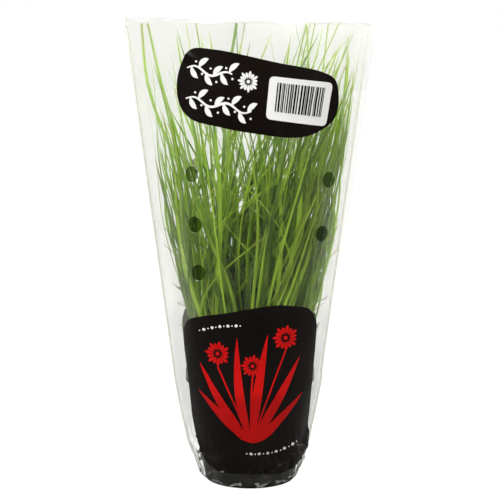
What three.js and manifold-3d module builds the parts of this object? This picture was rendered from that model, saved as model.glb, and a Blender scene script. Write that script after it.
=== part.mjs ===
// Potted garlic chives: a round plastic pot of potting mix, a dense stand of narrow flat leaves that
// grow from it in small clumps, and a clear film sleeve that tucks in round the pot's foot and flares
// to a wide open mouth, with dark printed panels on its front and back.
// Millimetres, +Z up. The origin is the centre of the pot's foot and the sleeve's front faces -Y.

import * as THREE from 'three';
import { mergeVertices } from 'three/addons/utils/BufferGeometryUtils.js';
import Module from 'manifold-3d';

const wasm = await Module();
wasm.setup();

// Pot
const POT_HEIGHT = 73;
const POT_WALL = 1.1;
const POT_FLOOR = 1.3;
const POT_SIDES = 44;
const FOOT_RADIUS = 29.5;
const FOOT_RING_WIDTH = 8.5;
const FOOT_RISE = 1.4;
const NECK_RADIUS = 40.2;
const COLLAR_RADIUS = 42.2;
const COLLAR_HEIGHT = 7;
const COLLAR_SLOPE = 0.4;
const DRAIN_RADIUS = 4;
const DRAIN_CIRCLE = 13;
const DRAIN_COUNT = 4;
const DRAIN_SIDES = 10;
const FIT_GAP = 0.3;
const OVERCUT = 2;

// Potting mix and the plain holes that the clumps stand in
const SOIL_TOP = 64.5;
const SOIL_RELIEF = 1.1;
const SOIL_RINGS = 5;
const SOIL_SECTORS = 26;
const STEM_HOLE_RADIUS = 3.4;
const STEM_HOLE_FLOOR = 56;
const STEM_SIDES = 6;
const WALL_SAG = 0.1;

// Clumps and their leaves
const CLUMPS = 38;
const CLUMP_SPREAD = 34;
const SHEATH_RADIUS = 2.6;
const SHEATH_TOP = 74.5;
const LEAF_RING_RADIUS = 1.3;
const LEAVES_PER_CLUMP = [5, 6, 4, 6];
const LEAF_LEVELS = [71, 95, 130, 170, 212, 256, 300];
const BUNCH_HALF_WIDTHS = [38, 34.5, 42, 58, 68, 74, 78];
const LEAF_WIDTH = [1.5, 3.6];
const LEAF_THICKNESS = 1.05;
const LEAF_FOOT = 0.5;
const LEAF_SWELL = 2.4;
const LEAF_TAPER = 0.72;
const TRIMMED_TAPER = 0.3;
const LEAF_MEAN_TIP = 236;
const LEAF_TIP_SCATTER = 48;
const LEAF_LOWEST_TIP = 130;
const TRIM_HEIGHT = 296.5;
const FAN_OUT = new THREE.Vector2(1.25, 0.8);
const CLUMP_SWAY = 42;
const BUNCH_LEAN = 13;
const LEAF_SPREAD = new THREE.Vector2(24, 16);
const LEAF_REACH = [0.35, 1.25];
const LEAF_BEND = [1.1, 2.0];
const LEAF_BOW = new THREE.Vector2(17, 3);
const LEAF_TURN = 0.45;
const LEAF_FLATTEN = 2.2;
const LEAF_TWIST = 1.4;
const STRAY_LEAN = 92;
const STRAY_SHARE = 0.75;
const LEAF_CLEARANCE = 3.55;
const SISTER_CLEARANCE = 2.8;
const FILM_CLEARANCE = 2.6;
const SETTLE_STEPS = 220;
const SETTLE_PACE = 0.8;
const LEAF_SEED = 4127;

// Sleeve: half width across its side welds, depth of its crown in front of the weld plane, and the
// radius of the crown, each at a named height
const SLEEVE_HEM = 1.2;
const SLEEVE_SHOULDER = 64;
const SLEEVE_TOP = 298;
const HEM_HALF_WIDTH = 30.9;
const HEM_DEPTH = 30.3;
const SHOULDER_HALF_WIDTH = 50;
const SHOULDER_DEPTH = 43.3;
const MOUTH_HALF_WIDTH = 80;
const MOUTH_DEPTH = 35;
const MOUTH_RADIUS = 80;
const MOUTH_TILT = 0.022;
const TUCK = [[SLEEVE_HEM, HEM_HALF_WIDTH], [8, 34], [16, 38.8], [24, 42], [44, 46.4],
  [SLEEVE_SHOULDER, SHOULDER_HALF_WIDTH]];
const SLEEVE_HEIGHTS = [SLEEVE_HEM, 8, 16, 24, 44, SLEEVE_SHOULDER, 122, 181, 239, SLEEVE_TOP];
const FILM = 0.5;
const WELD_RIGHT = 4;
const WELD_LEFT = 1.2;
const ARC_STEPS = 5;
const SIDE_STEPS = 2;
const VENT_SIZE = new THREE.Vector2(3.7, 4.7);
const VENT_SIDES = 10;
const VENTS = [[-35.9, 202.7], [-33.8, 171.4], [-31.7, 141.2], [49.6, 199.1], [45.3, 164.9]];

// Printed panels: outlines in the front view, as X and Z of the points that their edges run through
const PANEL_GAP = 0.3;
const PANEL = 0.3;
const UPPER_PANEL = [[-23, 280.2], [-36.7, 279.5], [-44.5, 264], [-44, 246.3], [-37, 237.3], [-18, 232.6],
  [1.5, 229.4], [30.1, 226.7], [42.8, 230.2], [52.5, 237.5], [55.4, 247.5], [53.4, 262], [45.7, 267],
  [16.5, 272.9]];
const CODE_PANEL = [[12, 264.7], [51.6, 260.5], [47.1, 233.2], [9.5, 238.4]];
const CODE_CORNER = 3.2;
const LOWER_PANEL = [[-41.6, 104.5], [-42, 99], [-40.4, 82], [-38.2, 60], [-36.6, 42], [-32.5, 27],
  [-25.5, 16.5], [-18, 11.8], [4, 11], [21, 10.8], [30, 14], [35.4, 23], [37.6, 42], [39.2, 66], [41.6, 94],
  [41.8, 109], [37.5, 117.2], [26, 121], [12.8, 121.9], [-12.8, 117.5], [-37.5, 110.5]];
const BACK_PANEL = [[-44, 105], [-43.6, 88], [-40.4, 60], [-37.6, 38], [-31.5, 20], [-20, 12.4], [0, 11.5],
  [20, 12.4], [31.5, 20], [37.6, 38], [40.4, 60], [43, 88], [42.4, 107], [37, 112], [0, 112.8],
  [-39.6, 111.6]];
const OUTLINE_POINTS = 30;
const FRONT_HALF = [-70, -4];
const BACK_HALF = [4, 70];
const BOTH_HALVES = [-70, 70];

const POT_GREY = new THREE.MeshStandardMaterial({ color: 0x2b2a29, roughness: 0.5, metalness: 0 });
const SOIL_BROWN = new THREE.MeshStandardMaterial({ color: 0x33271d, roughness: 0.95, metalness: 0 });
const CLEAR_FILM = new THREE.MeshStandardMaterial({
  color: 0xf4f4f0, roughness: 0.12, metalness: 0, transparent: true, opacity: 0.22, side: THREE.DoubleSide,
});
const LEAF_GREEN = new THREE.Color(0x7aa83a);
const LEAF_DARK_GREEN = new THREE.Color(0x4c7a24);
const PRINT_BLACK = new THREE.MeshStandardMaterial({ color: 0x17110f, roughness: 0.3, metalness: 0 });
const PRINT_WHITE = new THREE.MeshStandardMaterial({ color: 0xf4f4f1, roughness: 0.35, metalness: 0 });

// Small repeatable random number source, from 0 up to 1
function randomSource(seed) {
  let state = seed >>> 0;
  return () => {
    state = (state + 0x6d2b79f5) >>> 0;
    let t = Math.imul(state ^ (state >>> 15), state | 1);
    t = (t + Math.imul(t ^ (t >>> 7), t | 61)) ^ t;
    return ((t ^ (t >>> 14)) >>> 0) / 4294967296;
  };
}

function toSolid(geometry) {
  const bare = geometry.clone();
  bare.deleteAttribute('normal');
  bare.deleteAttribute('uv');
  const merged = mergeVertices(bare);
  return new wasm.Manifold(new wasm.Mesh({
    numProp: 3,
    vertProperties: new Float32Array(merged.attributes.position.array),
    triVerts: new Uint32Array(merged.index.array),
  }));
}

function toGeometry(solid) {
  const mesh = solid.getMesh();
  const geometry = new THREE.BufferGeometry();
  geometry.setAttribute('position', new THREE.BufferAttribute(new Float32Array(mesh.vertProperties), 3));
  geometry.setIndex(new THREE.BufferAttribute(new Uint32Array(mesh.triVerts), 1));
  geometry.computeVertexNormals();
  return geometry;
}

// Closed solid through a stack of loops that run anticlockwise seen from above. Its top closes on apex,
// or flat on the middle of the last loop.
function stackLoops(loops, apex) {
  const count = loops[0].length;
  const points = loops.flat();
  const middle = (loop) => loop.reduce((sum, p) => sum.add(p), new THREE.Vector3()).divideScalar(count);
  const floorPoint = points.push(middle(loops[0])) - 1;
  const roofPoint = points.push(apex ?? middle(loops[loops.length - 1])) - 1;
  const roof = (loops.length - 1) * count;
  const index = [];
  for (let i = 0; i < count; i += 1) {
    const next = (i + 1) % count;
    index.push(floorPoint, next, i, roofPoint, roof + i, roof + next);
    for (let row = 0; row < roof; row += count) {
      index.push(row + i, row + next, row + next + count, row + i, row + next + count, row + i + count);
    }
  }
  const geometry = new THREE.BufferGeometry().setFromPoints(points);
  geometry.setIndex(index);
  return geometry;
}

function uprightCylinder(x, y, radius, bottom, top, sides) {
  const geometry = new THREE.CylinderGeometry(radius, radius, top - bottom, sides).rotateX(Math.PI / 2);
  return toSolid(geometry.translate(x, y, (top + bottom) / 2));
}

// Thin-walled tapered pot with a wider collar, a foot ring and a raised floor with drain holes
function potGeometry() {
  const collarBottom = POT_HEIGHT - COLLAR_HEIGHT;
  const ringInner = FOOT_RADIUS - FOOT_RING_WIDTH;
  const profile = [
    [0, FOOT_RISE], [ringInner - FOOT_RISE, FOOT_RISE], [ringInner, 0], [FOOT_RADIUS, 0],
    [NECK_RADIUS, collarBottom - COLLAR_SLOPE], [COLLAR_RADIUS, collarBottom], [COLLAR_RADIUS, POT_HEIGHT],
    [COLLAR_RADIUS - POT_WALL, POT_HEIGHT], [COLLAR_RADIUS - POT_WALL, collarBottom + POT_WALL],
    [NECK_RADIUS - POT_WALL, collarBottom], [FOOT_RADIUS - POT_WALL, FOOT_RISE + POT_FLOOR],
    [0, FOOT_RISE + POT_FLOOR],
  ].map(([radius, z]) => new THREE.Vector2(radius, z));
  let pot = toSolid(new THREE.LatheGeometry(profile, POT_SIDES).rotateX(Math.PI / 2));
  for (let i = 0; i < DRAIN_COUNT; i += 1) {
    const angle = (i + 0.5) * 2 * Math.PI / DRAIN_COUNT;
    const x = DRAIN_CIRCLE * Math.cos(angle);
    const y = DRAIN_CIRCLE * Math.sin(angle);
    const top = FOOT_RISE + POT_FLOOR + OVERCUT;
    pot = pot.subtract(uprightCylinder(x, y, DRAIN_RADIUS, -OVERCUT, top, DRAIN_SIDES));
  }
  return toGeometry(pot);
}

// Height of the crumbly top of the potting mix: broad lumps with smaller crumbs on them
function soilHeight(x, y) {
  const coarse = Math.sin(0.31 * x + 1.3) * Math.cos(0.27 * y - 0.6);
  const fine = Math.sin(0.93 * x - 0.71 * y) * Math.cos(0.83 * y + 0.37 * x + 2.1);
  return SOIL_TOP + SOIL_RELIEF * (0.55 * coarse + 0.45 * fine);
}

function soilGeometry(clumps) {
  const potFloor = FOOT_RISE + POT_FLOOR;
  const floor = potFloor + FIT_GAP;
  const wallSlope = (NECK_RADIUS - FOOT_RADIUS) / (POT_HEIGHT - COLLAR_HEIGHT - potFloor);
  const wallGap = POT_WALL + FIT_GAP / Math.cos(Math.PI / SOIL_SECTORS) + WALL_SAG;
  const wallRadius = (z) => FOOT_RADIUS - wallGap + wallSlope * (z - potFloor);
  const ring = (radius, height) => Array.from({ length: SOIL_SECTORS }, (_, i) => {
    const angle = i * 2 * Math.PI / SOIL_SECTORS;
    const x = radius * Math.cos(angle);
    const y = radius * Math.sin(angle);
    return new THREE.Vector3(x, y, height ?? soilHeight(x, y));
  });
  const edge = wallRadius(SOIL_TOP - SOIL_RELIEF);
  const loops = [ring(wallRadius(floor), floor)];
  for (let i = SOIL_RINGS; i > 0; i -= 1) {
    loops.push(ring(edge * i / SOIL_RINGS));
  }
  let soil = toSolid(stackLoops(loops, new THREE.Vector3(0, 0, soilHeight(0, 0))));
  for (const { root } of clumps) {
    const top = SOIL_TOP + SOIL_RELIEF + OVERCUT;
    soil = soil.subtract(uprightCylinder(root.x, root.y, STEM_HOLE_RADIUS, STEM_HOLE_FLOOR, top, STEM_SIDES));
  }
  return toGeometry(soil);
}

// Half width, crown depth, crown radius and rise above the shoulder of the sleeve at a height
function sleeveSection(z) {
  if (z < SLEEVE_SHOULDER) {
    const upper = Math.max(TUCK.findIndex(([height]) => height >= z), 1);
    const [z0, w0] = TUCK[upper - 1];
    const [z1, w1] = TUCK[upper];
    const rise = (z - SLEEVE_HEM) / (SLEEVE_SHOULDER - SLEEVE_HEM);
    const depth = HEM_DEPTH + (SHOULDER_DEPTH - HEM_DEPTH) * rise;
    return { halfWidth: w0 + (w1 - w0) * (z - z0) / (z1 - z0), depth, radius: depth, flare: 0 };
  }
  const flare = (z - SLEEVE_SHOULDER) / (SLEEVE_TOP - SLEEVE_SHOULDER);
  return {
    halfWidth: SHOULDER_HALF_WIDTH + (MOUTH_HALF_WIDTH - SHOULDER_HALF_WIDTH) * flare,
    depth: SHOULDER_DEPTH + (MOUTH_DEPTH - SHOULDER_DEPTH) * flare,
    radius: SHOULDER_DEPTH + (MOUTH_RADIUS - SHOULDER_DEPTH) * flare,
    flare,
  };
}

// Angle from the crown at which the film leaves its round crown and runs straight to the weld
function tangentAngle(section, weldX, weldY, radius) {
  const centre = section.radius - section.depth;
  const reach = Math.hypot(weldX, centre + weldY);
  return Math.atan2(weldX, centre + weldY) - Math.acos(Math.min(1, radius / reach));
}

// Points of one quarter of the film, from its crown to its side edge: X, and distance from the weld plane
function quarterSection(z, offset, weldWidth) {
  const section = sleeveSection(z);
  const centre = section.radius - section.depth;
  const radius = section.radius + offset;
  const weld = Math.min(weldWidth, (section.halfWidth - section.depth) / 2);
  const weldX = section.halfWidth - weld;
  const last = tangentAngle(section, weldX, -offset, radius);
  const points = [];
  for (let i = 0; i <= ARC_STEPS; i += 1) {
    const angle = last * i / ARC_STEPS;
    points.push([radius * Math.sin(angle), radius * Math.cos(angle) - centre]);
  }
  const [tangentX, tangentY] = points[ARC_STEPS];
  for (let i = 1; i <= SIDE_STEPS; i += 1) {
    const t = i / SIDE_STEPS;
    points.push([tangentX + (weldX - tangentX) * t, tangentY + (offset - tangentY) * t]);
  }
  if (offset > 0) {
    points.push([section.halfWidth, offset / 2]);
  }
  return points;
}

function sleeveLoop(z, offset) {
  const right = quarterSection(z, offset, WELD_RIGHT);
  const left = quarterSection(z, offset, WELD_LEFT).map(([x, depth]) => [-x, depth]);
  const shared = offset > 0 ? 0 : 1;
  const front = [...left.slice(1).reverse(), ...right];
  const back = [...right.slice(1).reverse().slice(shared), ...left.slice(0, left.length - shared)];
  const lift = (x) => z - MOUTH_TILT * x * sleeveSection(z).flare;
  return [
    ...front.map(([x, depth]) => new THREE.Vector3(x, -depth, lift(x))),
    ...back.map(([x, depth]) => new THREE.Vector3(x, depth, lift(x))),
  ];
}

// Solid inside the film surface at an offset outwards from it, run past the sleeve's ends by overrun
function sleeveCore(offset, overrun) {
  const loops = SLEEVE_HEIGHTS.map((z) => sleeveLoop(z, offset));
  if (overrun > 0) {
    const down = loops[0].map((p) => p.clone().setZ(p.z - overrun));
    const up = loops[loops.length - 1].map((p) => p.clone().setZ(p.z + overrun));
    loops.unshift(down);
    loops.push(up);
  }
  return toSolid(stackLoops(loops));
}

// Bar along Y, between two depths, whose front view is an outline in X and Z
function barAlongY(outline, [start, end]) {
  const shape = new THREE.Shape(outline.map(([x, z]) => new THREE.Vector2(x, z)));
  const bar = new THREE.ExtrudeGeometry(shape, { depth: end - start, bevelEnabled: false });
  return toSolid(bar.rotateX(Math.PI / 2).translate(0, end, 0));
}

function ellipseOutline(x, z, size, sides) {
  return Array.from({ length: sides }, (_, i) => {
    const angle = i * 2 * Math.PI / sides;
    return [x + size.x * Math.cos(angle), z + size.y * Math.sin(angle)];
  });
}

function sleeveGeometry() {
  let sleeve = sleeveCore(FILM, 0).subtract(sleeveCore(0, OVERCUT));
  for (const [x, z] of VENTS) {
    sleeve = sleeve.subtract(barAlongY(ellipseOutline(x, z, VENT_SIZE, VENT_SIDES), BOTH_HALVES));
  }
  return toGeometry(sleeve);
}

// Smooth closed outline through hand-placed points
function smoothOutline(points) {
  const knots = points.map(([x, z]) => new THREE.Vector3(x, z, 0));
  const curve = new THREE.CatmullRomCurve3(knots, true, 'centripetal');
  return curve.getSpacedPoints(OUTLINE_POINTS).slice(0, OUTLINE_POINTS).map((p) => [p.x, p.y]);
}

// Four-cornered outline grown by a margin and with rounded corners
function roundedBox(corners, radius, margin) {
  const points = corners.map(([x, z]) => new THREE.Vector2(x, z));
  const middle = points[0].clone().lerp(points[2], 0.5);
  const grown = points.map((point) => {
    const arm = point.clone().sub(middle);
    return middle.clone().add(arm.setLength(arm.length() + margin * Math.SQRT2));
  });
  return grown.flatMap((corner, i) => {
    const before = grown[(i + 3) % 4].clone().sub(corner).setLength(radius).add(corner);
    const after = grown[(i + 1) % 4].clone().sub(corner).setLength(radius).add(corner);
    const bend = new THREE.QuadraticBezierCurve(before, corner, after);
    return bend.getPoints(3).map((p) => [p.x, p.y]);
  });
}

// Thin layer just outside the film, within an outline and on one half of the sleeve
function panelSolid(outline, half) {
  const layer = sleeveCore(FILM + PANEL_GAP + PANEL, 0).subtract(sleeveCore(FILM + PANEL_GAP, OVERCUT));
  return layer.intersect(barAlongY(outline, half));
}

function upperPanelGeometry() {
  const window = barAlongY(roundedBox(CODE_PANEL, CODE_CORNER, FIT_GAP), FRONT_HALF);
  return toGeometry(panelSolid(smoothOutline(UPPER_PANEL), FRONT_HALF).subtract(window));
}

// Clumps stand on a sunflower spiral, and each holds a ring of leaves that fan out above it
function plantClumps(random) {
  const between = (low, high) => low + (high - low) * random();
  const goldenAngle = Math.PI * (3 - Math.sqrt(5));
  const clumps = [];
  for (let i = 0; i < CLUMPS; i += 1) {
    const radius = CLUMP_SPREAD * Math.sqrt((i + 0.5) / CLUMPS);
    const root = new THREE.Vector2(radius * Math.cos(i * goldenAngle), radius * Math.sin(i * goldenAngle));
    const turn = between(0, 2 * Math.PI);
    const sway = CLUMP_SWAY * between(-1, 1);
    const count = LEAVES_PER_CLUMP[i % LEAVES_PER_CLUMP.length];
    const leaves = [];
    for (let j = 0; j < count; j += 1) {
      const side = turn + (j + between(-0.2, 0.2)) * 2 * Math.PI / count;
      leaves.push(plantLeaf(root, side, sway, between));
    }
    clumps.push({ root, leaves });
  }
  return clumps;
}

// A leaf's centre line, as its place at each of the leaf levels up to the first one above its tip. Its flat
// side turns towards the sleeve's nearer face.
function plantLeaf(root, side, sway, between) {
  const start = new THREE.Vector2(Math.cos(side), Math.sin(side)).multiplyScalar(LEAF_RING_RADIUS).add(root);
  const height = LEAF_MEAN_TIP + LEAF_TIP_SCATTER * (between(-1, 1) + between(-1, 1));
  const tip = Math.min(Math.max(height, LEAF_LOWEST_TIP), TRIM_HEIGHT);
  const reach = between(...LEAF_REACH);
  const stray = between(0, 1) < STRAY_SHARE ? STRAY_LEAN * between(-1, 1) : 0;
  const target = new THREE.Vector2(
    root.x * FAN_OUT.x + LEAF_SPREAD.x * reach * Math.cos(side) + stray + sway + BUNCH_LEAN,
    root.y * FAN_OUT.y + LEAF_SPREAD.y * reach * Math.sin(side),
  );
  const bend = between(...LEAF_BEND);
  const full = between(...LEAF_WIDTH);
  const outward = Math.atan2(LEAF_FLATTEN * Math.sin(side), Math.cos(side));
  const facing = outward + Math.PI / 2 + between(-LEAF_TURN, LEAF_TURN);
  const twist = between(-LEAF_TWIST, LEAF_TWIST);
  const levelCount = LEAF_LEVELS.findIndex((z) => z >= tip) + 1;
  const bow = new THREE.Vector2(LEAF_BOW.x * between(-1, 1), LEAF_BOW.y * between(-1, 1));
  const line = LEAF_LEVELS.slice(0, levelCount).map((z) => {
    const rise = (z - LEAF_LEVELS[0]) / (tip - LEAF_LEVELS[0]);
    return start.clone().lerp(target, rise ** bend).addScaledVector(bow, Math.sin(Math.PI * rise));
  });
  return { root, line, tip, full, facing, twist };
}

// Share of the stretch above a level that the leaf covers
function coverage(leaf, level) {
  const low = LEAF_LEVELS[level];
  return Math.min(1, (leaf.tip - low) / (LEAF_LEVELS[level + 1] - low));
}

// Keeps a point inside the film by a clearance
function holdInside(point, z) {
  const section = sleeveSection(z);
  const centre = section.radius - section.depth;
  const limit = section.radius - FILM_CLEARANCE;
  const angle = tangentAngle(section, section.halfWidth - WELD_RIGHT, 0, section.radius);
  const x = Math.abs(point.x);
  const depth = Math.abs(point.y) + centre;
  const pointAngle = Math.min(Math.atan2(x, depth), angle);
  const excess = x * Math.sin(pointAngle) + depth * Math.cos(pointAngle) - limit;
  if (excess > 0) {
    point.x -= Math.sign(point.x) * excess * Math.sin(pointAngle);
    point.y -= Math.sign(point.y) * excess * Math.cos(pointAngle);
  }
}

// Pushes apart two leaves that pass closer than a clearance, anywhere along the stretches they share.
// The closest approach on a stretch is found in plan, since both leaves cross the same levels.
function partLeaves(first, second, clearance, fromLevel) {
  const stretches = Math.min(first.line.length, second.line.length) - 1;
  for (let k = fromLevel; k < stretches; k += 1) {
    const ax = first.line[k].x - second.line[k].x;
    const ay = first.line[k].y - second.line[k].y;
    const dx = first.line[k + 1].x - second.line[k + 1].x - ax;
    const dy = first.line[k + 1].y - second.line[k + 1].y - ay;
    const end = Math.min(coverage(first, k), coverage(second, k));
    const travel = dx * dx + dy * dy;
    const t = travel > 0 ? Math.min(Math.max(-(ax * dx + ay * dy) / travel, 0), end) : 0;
    const gapX = ax + dx * t;
    const gapY = ay + dy * t;
    const gap = Math.hypot(gapX, gapY);
    if (gap < clearance && gap > 0) {
      const push = (clearance - gap) / gap / ((1 - t) ** 2 + t ** 2) / 2;
      const apart = new THREE.Vector2(gapX, gapY);
      for (const [level, share] of [[k, 1 - t], [k + 1, t]]) {
        first.shift[level].addScaledVector(apart, push * share);
        second.shift[level].addScaledVector(apart, -push * share);
      }
    }
  }
}

// Leaves settle side by side: none passes through another or through the film, and the bunch stays
// narrow where it rises from the pot
function settleLeaves(clumps) {
  const leaves = clumps.flatMap((clump) => clump.leaves);
  for (let step = 0; step < SETTLE_STEPS; step += 1) {
    for (const leaf of leaves) {
      leaf.shift = leaf.line.map(() => new THREE.Vector2());
    }
    leaves.forEach((leaf, i) => leaves.slice(i + 1).forEach((other) => {
      const sisters = leaf.root === other.root;
      partLeaves(leaf, other, sisters ? SISTER_CLEARANCE : LEAF_CLEARANCE, sisters ? 1 : 0);
    }));
    for (const leaf of leaves) {
      for (let k = 1; k < leaf.line.length; k += 1) {
        leaf.line[k].addScaledVector(leaf.shift[k], SETTLE_PACE);
        holdInside(leaf.line[k], LEAF_LEVELS[k]);
        leaf.line[k].x = THREE.MathUtils.clamp(leaf.line[k].x, -BUNCH_HALF_WIDTHS[k], BUNCH_HALF_WIDTHS[k]);
      }
    }
  }
}

// Flat three-edged leaf with a low keel along its back, narrow at its foot and drawn out to its tip
function leafSolid({ line, tip, full, facing, twist }) {
  const first = LEAF_LEVELS[0];
  const trimmed = tip >= TRIM_HEIGHT;
  const section = (centre, z) => {
    const share = (z - first) / (tip - first);
    const swell = Math.min(1, LEAF_FOOT + LEAF_SWELL * share);
    const taper = trimmed ? 1 - TRIMMED_TAPER * share : 1 - LEAF_TAPER * Math.max(0, 2 * share - 1) ** 1.5;
    const angle = facing + twist * share;
    const across = new THREE.Vector3(Math.cos(angle), Math.sin(angle), 0);
    const face = new THREE.Vector3(-Math.sin(angle), Math.cos(angle), 0);
    across.multiplyScalar(full * swell * taper / 2);
    face.multiplyScalar(LEAF_THICKNESS * taper / 3);
    const middle = new THREE.Vector3(centre.x, centre.y, z);
    return [
      middle.clone().sub(across).add(face),
      middle.clone().addScaledVector(face, -2),
      middle.clone().add(across).add(face),
    ];
  };
  const top = line.length - 2;
  const end = line[top].clone().lerp(line[top + 1], coverage({ tip }, top));
  const loops = line.slice(0, top + 1).map((centre, k) => section(centre, LEAF_LEVELS[k]));
  if (trimmed) {
    return toSolid(stackLoops([...loops, section(end, tip)]));
  }
  return toSolid(stackLoops(loops, new THREE.Vector3(end.x, end.y, tip)));
}

// Fills any hollow that is sealed all round: its inner skin is a shell of negative volume
function filled(solid) {
  const [first, ...others] = solid.decompose().filter((shell) => shell.volume() > 0);
  return others.reduce((whole, shell) => whole.add(shell), first);
}

// One clump: its leaves fused to the short sheath that they grow from
function clumpGeometry({ root, leaves }) {
  const foot = STEM_HOLE_FLOOR + FIT_GAP;
  let clump = uprightCylinder(root.x, root.y, SHEATH_RADIUS, foot, SHEATH_TOP, STEM_SIDES);
  for (const leaf of leaves) {
    clump = clump.add(leafSolid(leaf));
  }
  return toGeometry(filled(clump));
}

function leafMaterial(random) {
  const color = LEAF_GREEN.clone().lerp(LEAF_DARK_GREEN, random());
  return new THREE.MeshStandardMaterial({ color, roughness: 0.45, metalness: 0 });
}

function named(name, geometry, material) {
  const mesh = new THREE.Mesh(geometry, material);
  mesh.name = name;
  return mesh;
}

const random = randomSource(LEAF_SEED);
const clumps = plantClumps(random);
settleLeaves(clumps);

const group = new THREE.Group();
group.add(named('pot', potGeometry(), POT_GREY));
group.add(named('soil', soilGeometry(clumps), SOIL_BROWN));
clumps.forEach((clump, i) => {
  const number = String(i + 1).padStart(2, '0');
  group.add(named(`clump_${number}`, clumpGeometry(clump), leafMaterial(random)));
});
group.add(named('sleeve', sleeveGeometry(), CLEAR_FILM));
group.add(named('panel_upper', upperPanelGeometry(), PRINT_BLACK));
const codeSolid = panelSolid(roundedBox(CODE_PANEL, CODE_CORNER, 0), FRONT_HALF);
group.add(named('panel_code', toGeometry(codeSolid), PRINT_WHITE));
const lowerSolid = panelSolid(smoothOutline(LOWER_PANEL), FRONT_HALF);
group.add(named('panel_lower', toGeometry(lowerSolid), PRINT_BLACK));
const backSolid = panelSolid(smoothOutline(BACK_PANEL), BACK_HALF);
group.add(named('panel_back', toGeometry(backSolid), PRINT_BLACK));

export default group;
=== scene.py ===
"""Potted garlic chives in a clear film sleeve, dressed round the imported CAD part.

Sizes are in millimetres, +Z up, with the sleeve's front facing -Y. The leaves, the sleeve's surface and the
printed panels follow the same rules and driving sizes as the CAD solids that they stand for. The leaves'
lines are then eased a little, and thinner leaves and wisps that the solids don't have grow between them.
"""

import logging
import math
from collections import Counter
from collections.abc import Callable, Sequence
from dataclasses import dataclass, field, replace
from enum import Enum

import bpy
import bmesh
import numpy as np
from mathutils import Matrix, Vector
from mathutils.geometry import delaunay_2d_cdt


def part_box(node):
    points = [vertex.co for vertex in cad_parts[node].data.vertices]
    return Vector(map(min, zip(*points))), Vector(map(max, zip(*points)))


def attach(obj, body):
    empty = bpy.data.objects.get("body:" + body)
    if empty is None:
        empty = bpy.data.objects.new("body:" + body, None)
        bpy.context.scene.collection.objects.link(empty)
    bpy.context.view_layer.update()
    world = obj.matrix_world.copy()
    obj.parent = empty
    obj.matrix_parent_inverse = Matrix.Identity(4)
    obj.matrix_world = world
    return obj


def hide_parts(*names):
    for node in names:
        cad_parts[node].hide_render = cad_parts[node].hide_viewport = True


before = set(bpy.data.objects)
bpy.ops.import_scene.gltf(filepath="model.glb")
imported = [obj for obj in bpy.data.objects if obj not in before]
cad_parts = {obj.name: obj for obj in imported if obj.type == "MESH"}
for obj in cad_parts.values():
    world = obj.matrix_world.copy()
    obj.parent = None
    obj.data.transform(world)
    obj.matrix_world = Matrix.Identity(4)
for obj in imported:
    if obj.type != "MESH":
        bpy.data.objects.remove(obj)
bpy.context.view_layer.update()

MM = 0.001
BODY = "root"
FINE_RELIEF = 0.0002
CLOUD = (0.3, 0.7)
GOLDEN_ANGLE = math.pi * (3 - math.sqrt(5))
AIM_HEIGHT = 150.0
Array = np.ndarray
Colour = tuple[float, float, float]
Draw = Callable[[], float]
Material = bpy.types.Material
Node = bpy.types.Node
Outputs = bpy.types.NodeOutputs
Piece = bpy.types.Object
Place = tuple[float, float, float]
Plan = tuple[float, float]
Socket = bpy.types.NodeSocket
Tree = bpy.types.NodeTree

log = logging.getLogger("chives")


class Slot(Enum):
    """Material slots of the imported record."""

    POT = "pot_plastic"
    SOIL = "potting_mix"
    LEAF = "leaf"
    FILM = "clear_film"
    BLACK = "print_black"
    WHITE = "print_white"


class Face(Enum):
    """The two faces of the sleeve, as the sign of Y that each one looks towards."""

    FRONT = -1
    BACK = 1


def random_source(seed: int) -> Draw:
    """Make the small repeatable random number source that the leaves are planted by.

    Args:
        seed: Any whole number.

    Returns:
        A function that gives the next number from 0 up to 1.
    """
    mask = 0xFFFFFFFF
    state = seed & mask

    def draw() -> float:
        """Give the next number from 0 up to 1."""
        nonlocal state
        state = (state + 0x6D2B79F5) & mask
        t = ((state ^ (state >> 15)) * (state | 1)) & mask
        t = (((t + (((t ^ (t >> 7)) * (t | 61)) & mask)) & mask) ^ t) & mask
        return ((t ^ (t >> 14)) & mask) / 4294967296

    return draw


def smooth_step(value: Array | float, low: float, high: float) -> Array:
    """Rise smoothly from 0 at low to 1 at high."""
    t = np.clip((np.asarray(value, float) - low) / (high - low), 0, 1)
    return t * t * (3 - 2 * t)


def mesh_object(name: str, points: Array, faces: Sequence[Sequence[int]], smooth: bool = True,
                edges: Sequence[tuple[int, int]] = ()) -> Piece:
    """Make a mesh object at the origin from points in millimetres.

    Args:
        name: The object's name.
        points: One row of X, Y and Z for each vertex.
        faces: Vertex numbers of each face, anticlockwise seen from outside.
        smooth: Whether the faces are shaded smooth.
        edges: Loose edges, for paths.

    Returns:
        The new object, linked to the scene.
    """
    mesh = bpy.data.meshes.new(name)
    mesh.from_pydata((np.asarray(points, float) * MM).tolist(), list(edges), [list(f) for f in faces])
    mesh.update()
    mesh.polygons.foreach_set("use_smooth", [smooth] * len(mesh.polygons))
    piece = bpy.data.objects.new(name, mesh)
    bpy.context.scene.collection.objects.link(piece)
    return piece


def paint(piece: Piece, name: str, values: Array) -> None:
    """Store one number, or one direction, on each vertex of a piece.

    Args:
        piece: The mesh object.
        name: The attribute's name.
        values: One value, or one row of three, for each vertex.
    """
    data = np.asarray(values, np.float32)
    kind, key = ("FLOAT_VECTOR", "vector") if data.ndim == 2 else ("FLOAT", "value")
    piece.data.attributes.new(name, kind, "POINT").data.foreach_set(key, data.ravel())


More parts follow.
